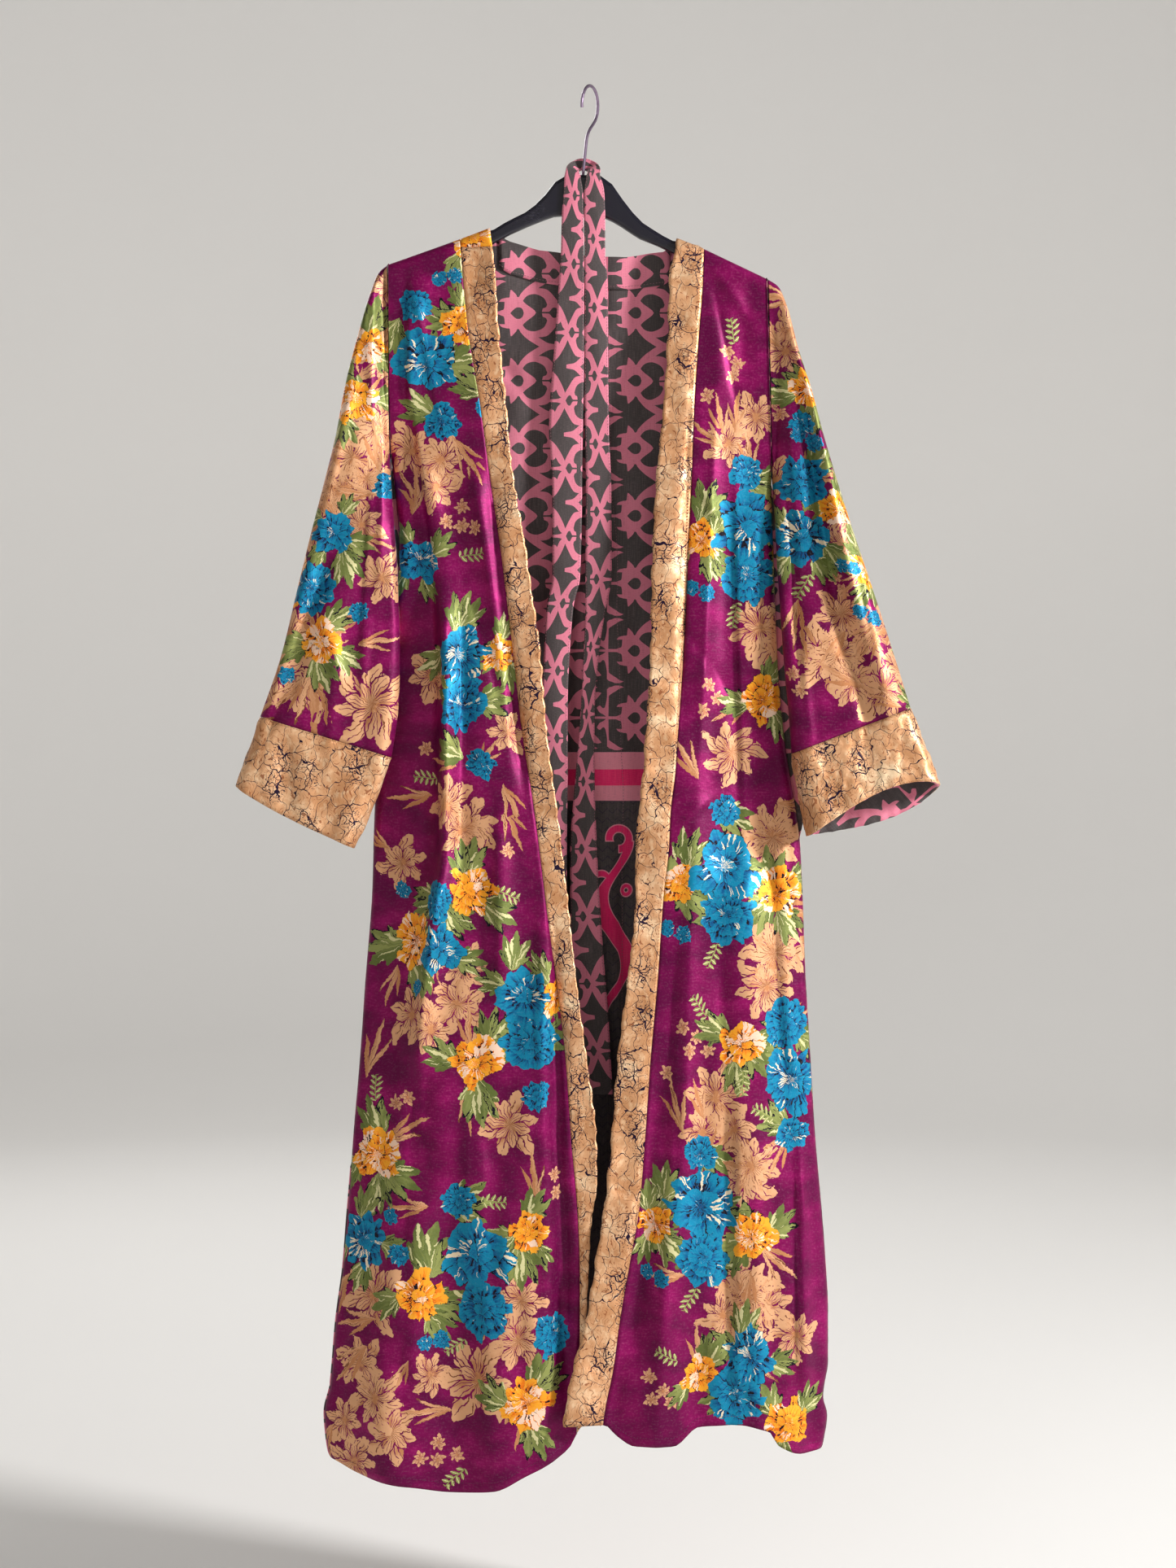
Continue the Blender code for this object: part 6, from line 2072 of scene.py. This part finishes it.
class ROBE_OT_stage(Step, bpy.types.Operator):
    """Makes the floor and backdrop, the lamps and the camera"""

    bl_idname = "robe.stage"
    bl_label = "Stage"

    def make(self):
        look = settings()
        self.bowl(CAD_BOX[0][2] - FLOOR_BELOW)
        middle = np.array([FRAME_MIDDLE[0], GARMENT_PLANE, FRAME_MIDDLE[1]])
        for lamp in LAMPS:
            light = bpy.data.lights.new(lamp.name, "AREA")
            light.shape = "DISK"
            light.size = lamp.size
            light.energy = lamp.power * look.lamp_share
            self.put(light, lamp.place, lamp.aim)
        world = bpy.context.scene.world or bpy.data.worlds.new("studio")
        bpy.context.scene.world = world
        world.use_nodes = True
        background = world.node_tree.nodes["Background"]
        background.inputs["Color"].default_value = (*look.backdrop, 1)
        background.inputs["Strength"].default_value = WORLD_STRENGTH
        camera = bpy.data.cameras.new("camera")
        camera.sensor_fit = "VERTICAL"
        camera.sensor_height = SENSOR_HEIGHT
        camera.lens = SENSOR_HEIGHT * look.camera_distance / FRAME_HEIGHT
        camera.clip_start, camera.clip_end = CLIP
        bpy.context.scene.camera = self.put(camera, middle - (0, look.camera_distance, 0), middle)
        bpy.context.scene.view_settings.view_transform = "Standard"

    def put(self, data, place, target):
        thing = put_in_scene(data.name, data)
        thing.location = place
        heading = mathutils.Vector(target) - mathutils.Vector(place)
        thing.rotation_euler = heading.to_track_quat("-Z", "Y").to_euler()
        return thing

    def bowl(self, floor):
        """A round floor that curves up into a wall."""
        outline = [(BOWL_FLAT / 2, floor)]
        for angle in np.linspace(0, math.pi / 2, BOWL_STEPS):
            out, up = BOWL_ROUND * math.sin(angle), BOWL_ROUND * (1 - math.cos(angle))
            outline.append((BOWL_FLAT + out, floor + up))
        outline.append((BOWL_FLAT + BOWL_ROUND, BOWL_TOP))
        turns = np.linspace(0, 2 * math.pi, BOWL_TURNS, endpoint=False)
        points = [(0.0, 0.0, floor)]
        for out, height in outline:
            points.extend((out * math.cos(turn), out * math.sin(turn), height) for turn in turns)
        faces = [(0, 1 + k, 1 + (k + 1) % BOWL_TURNS) for k in range(BOWL_TURNS)]
        for ring in range(len(outline) - 1):
            first = 1 + ring * BOWL_TURNS
            for k in range(BOWL_TURNS):
                beside = (k + 1) % BOWL_TURNS
                faces.append((first + k, first + BOWL_TURNS + k, first + BOWL_TURNS + beside, first + beside))
        mesh = bpy.data.meshes.new("floor_and_backdrop")
        mesh.from_pydata(points, [], faces)
        mesh.shade_smooth()
        mesh.materials.append(backdrop_paint())
        bowl = put_in_scene("floor_and_backdrop", mesh)


class ROBE_PT_steps(bpy.types.Panel):
    """Lists the steps that make the robe"""

    bl_idname = "ROBE_PT_steps"
    bl_label = "Kimono robe"
    bl_space_type = "VIEW_3D"
    bl_region_type = "UI"
    bl_category = "Robe"

    def draw(self, context):
        for name in RobeSettings.__annotations__:
            self.layout.prop(context.scene.robe_settings, name)
        for step in STEPS:
            self.layout.operator(step.bl_idname)


STEPS = (
    ROBE_OT_stage, ROBE_OT_hanger, ROBE_OT_back, ROBE_OT_fronts, ROBE_OT_sleeves, ROBE_OT_belt,
    ROBE_OT_stitching,
)
CLASSES = (RobeSettings, *STEPS, ROBE_PT_steps)


def register():
    for kind in CLASSES:
        bpy.utils.register_class(kind)
    bpy.types.Scene.robe_settings = bpy.props.PointerProperty(type=RobeSettings)


def unregister():
    del bpy.types.Scene.robe_settings
    for kind in reversed(CLASSES):
        bpy.utils.unregister_class(kind)


def main():
    register()
    for step in STEPS:
        group, name = step.bl_idname.split(".")
        getattr(getattr(bpy.ops, group), name)()


if __name__ == "__main__":
    main()
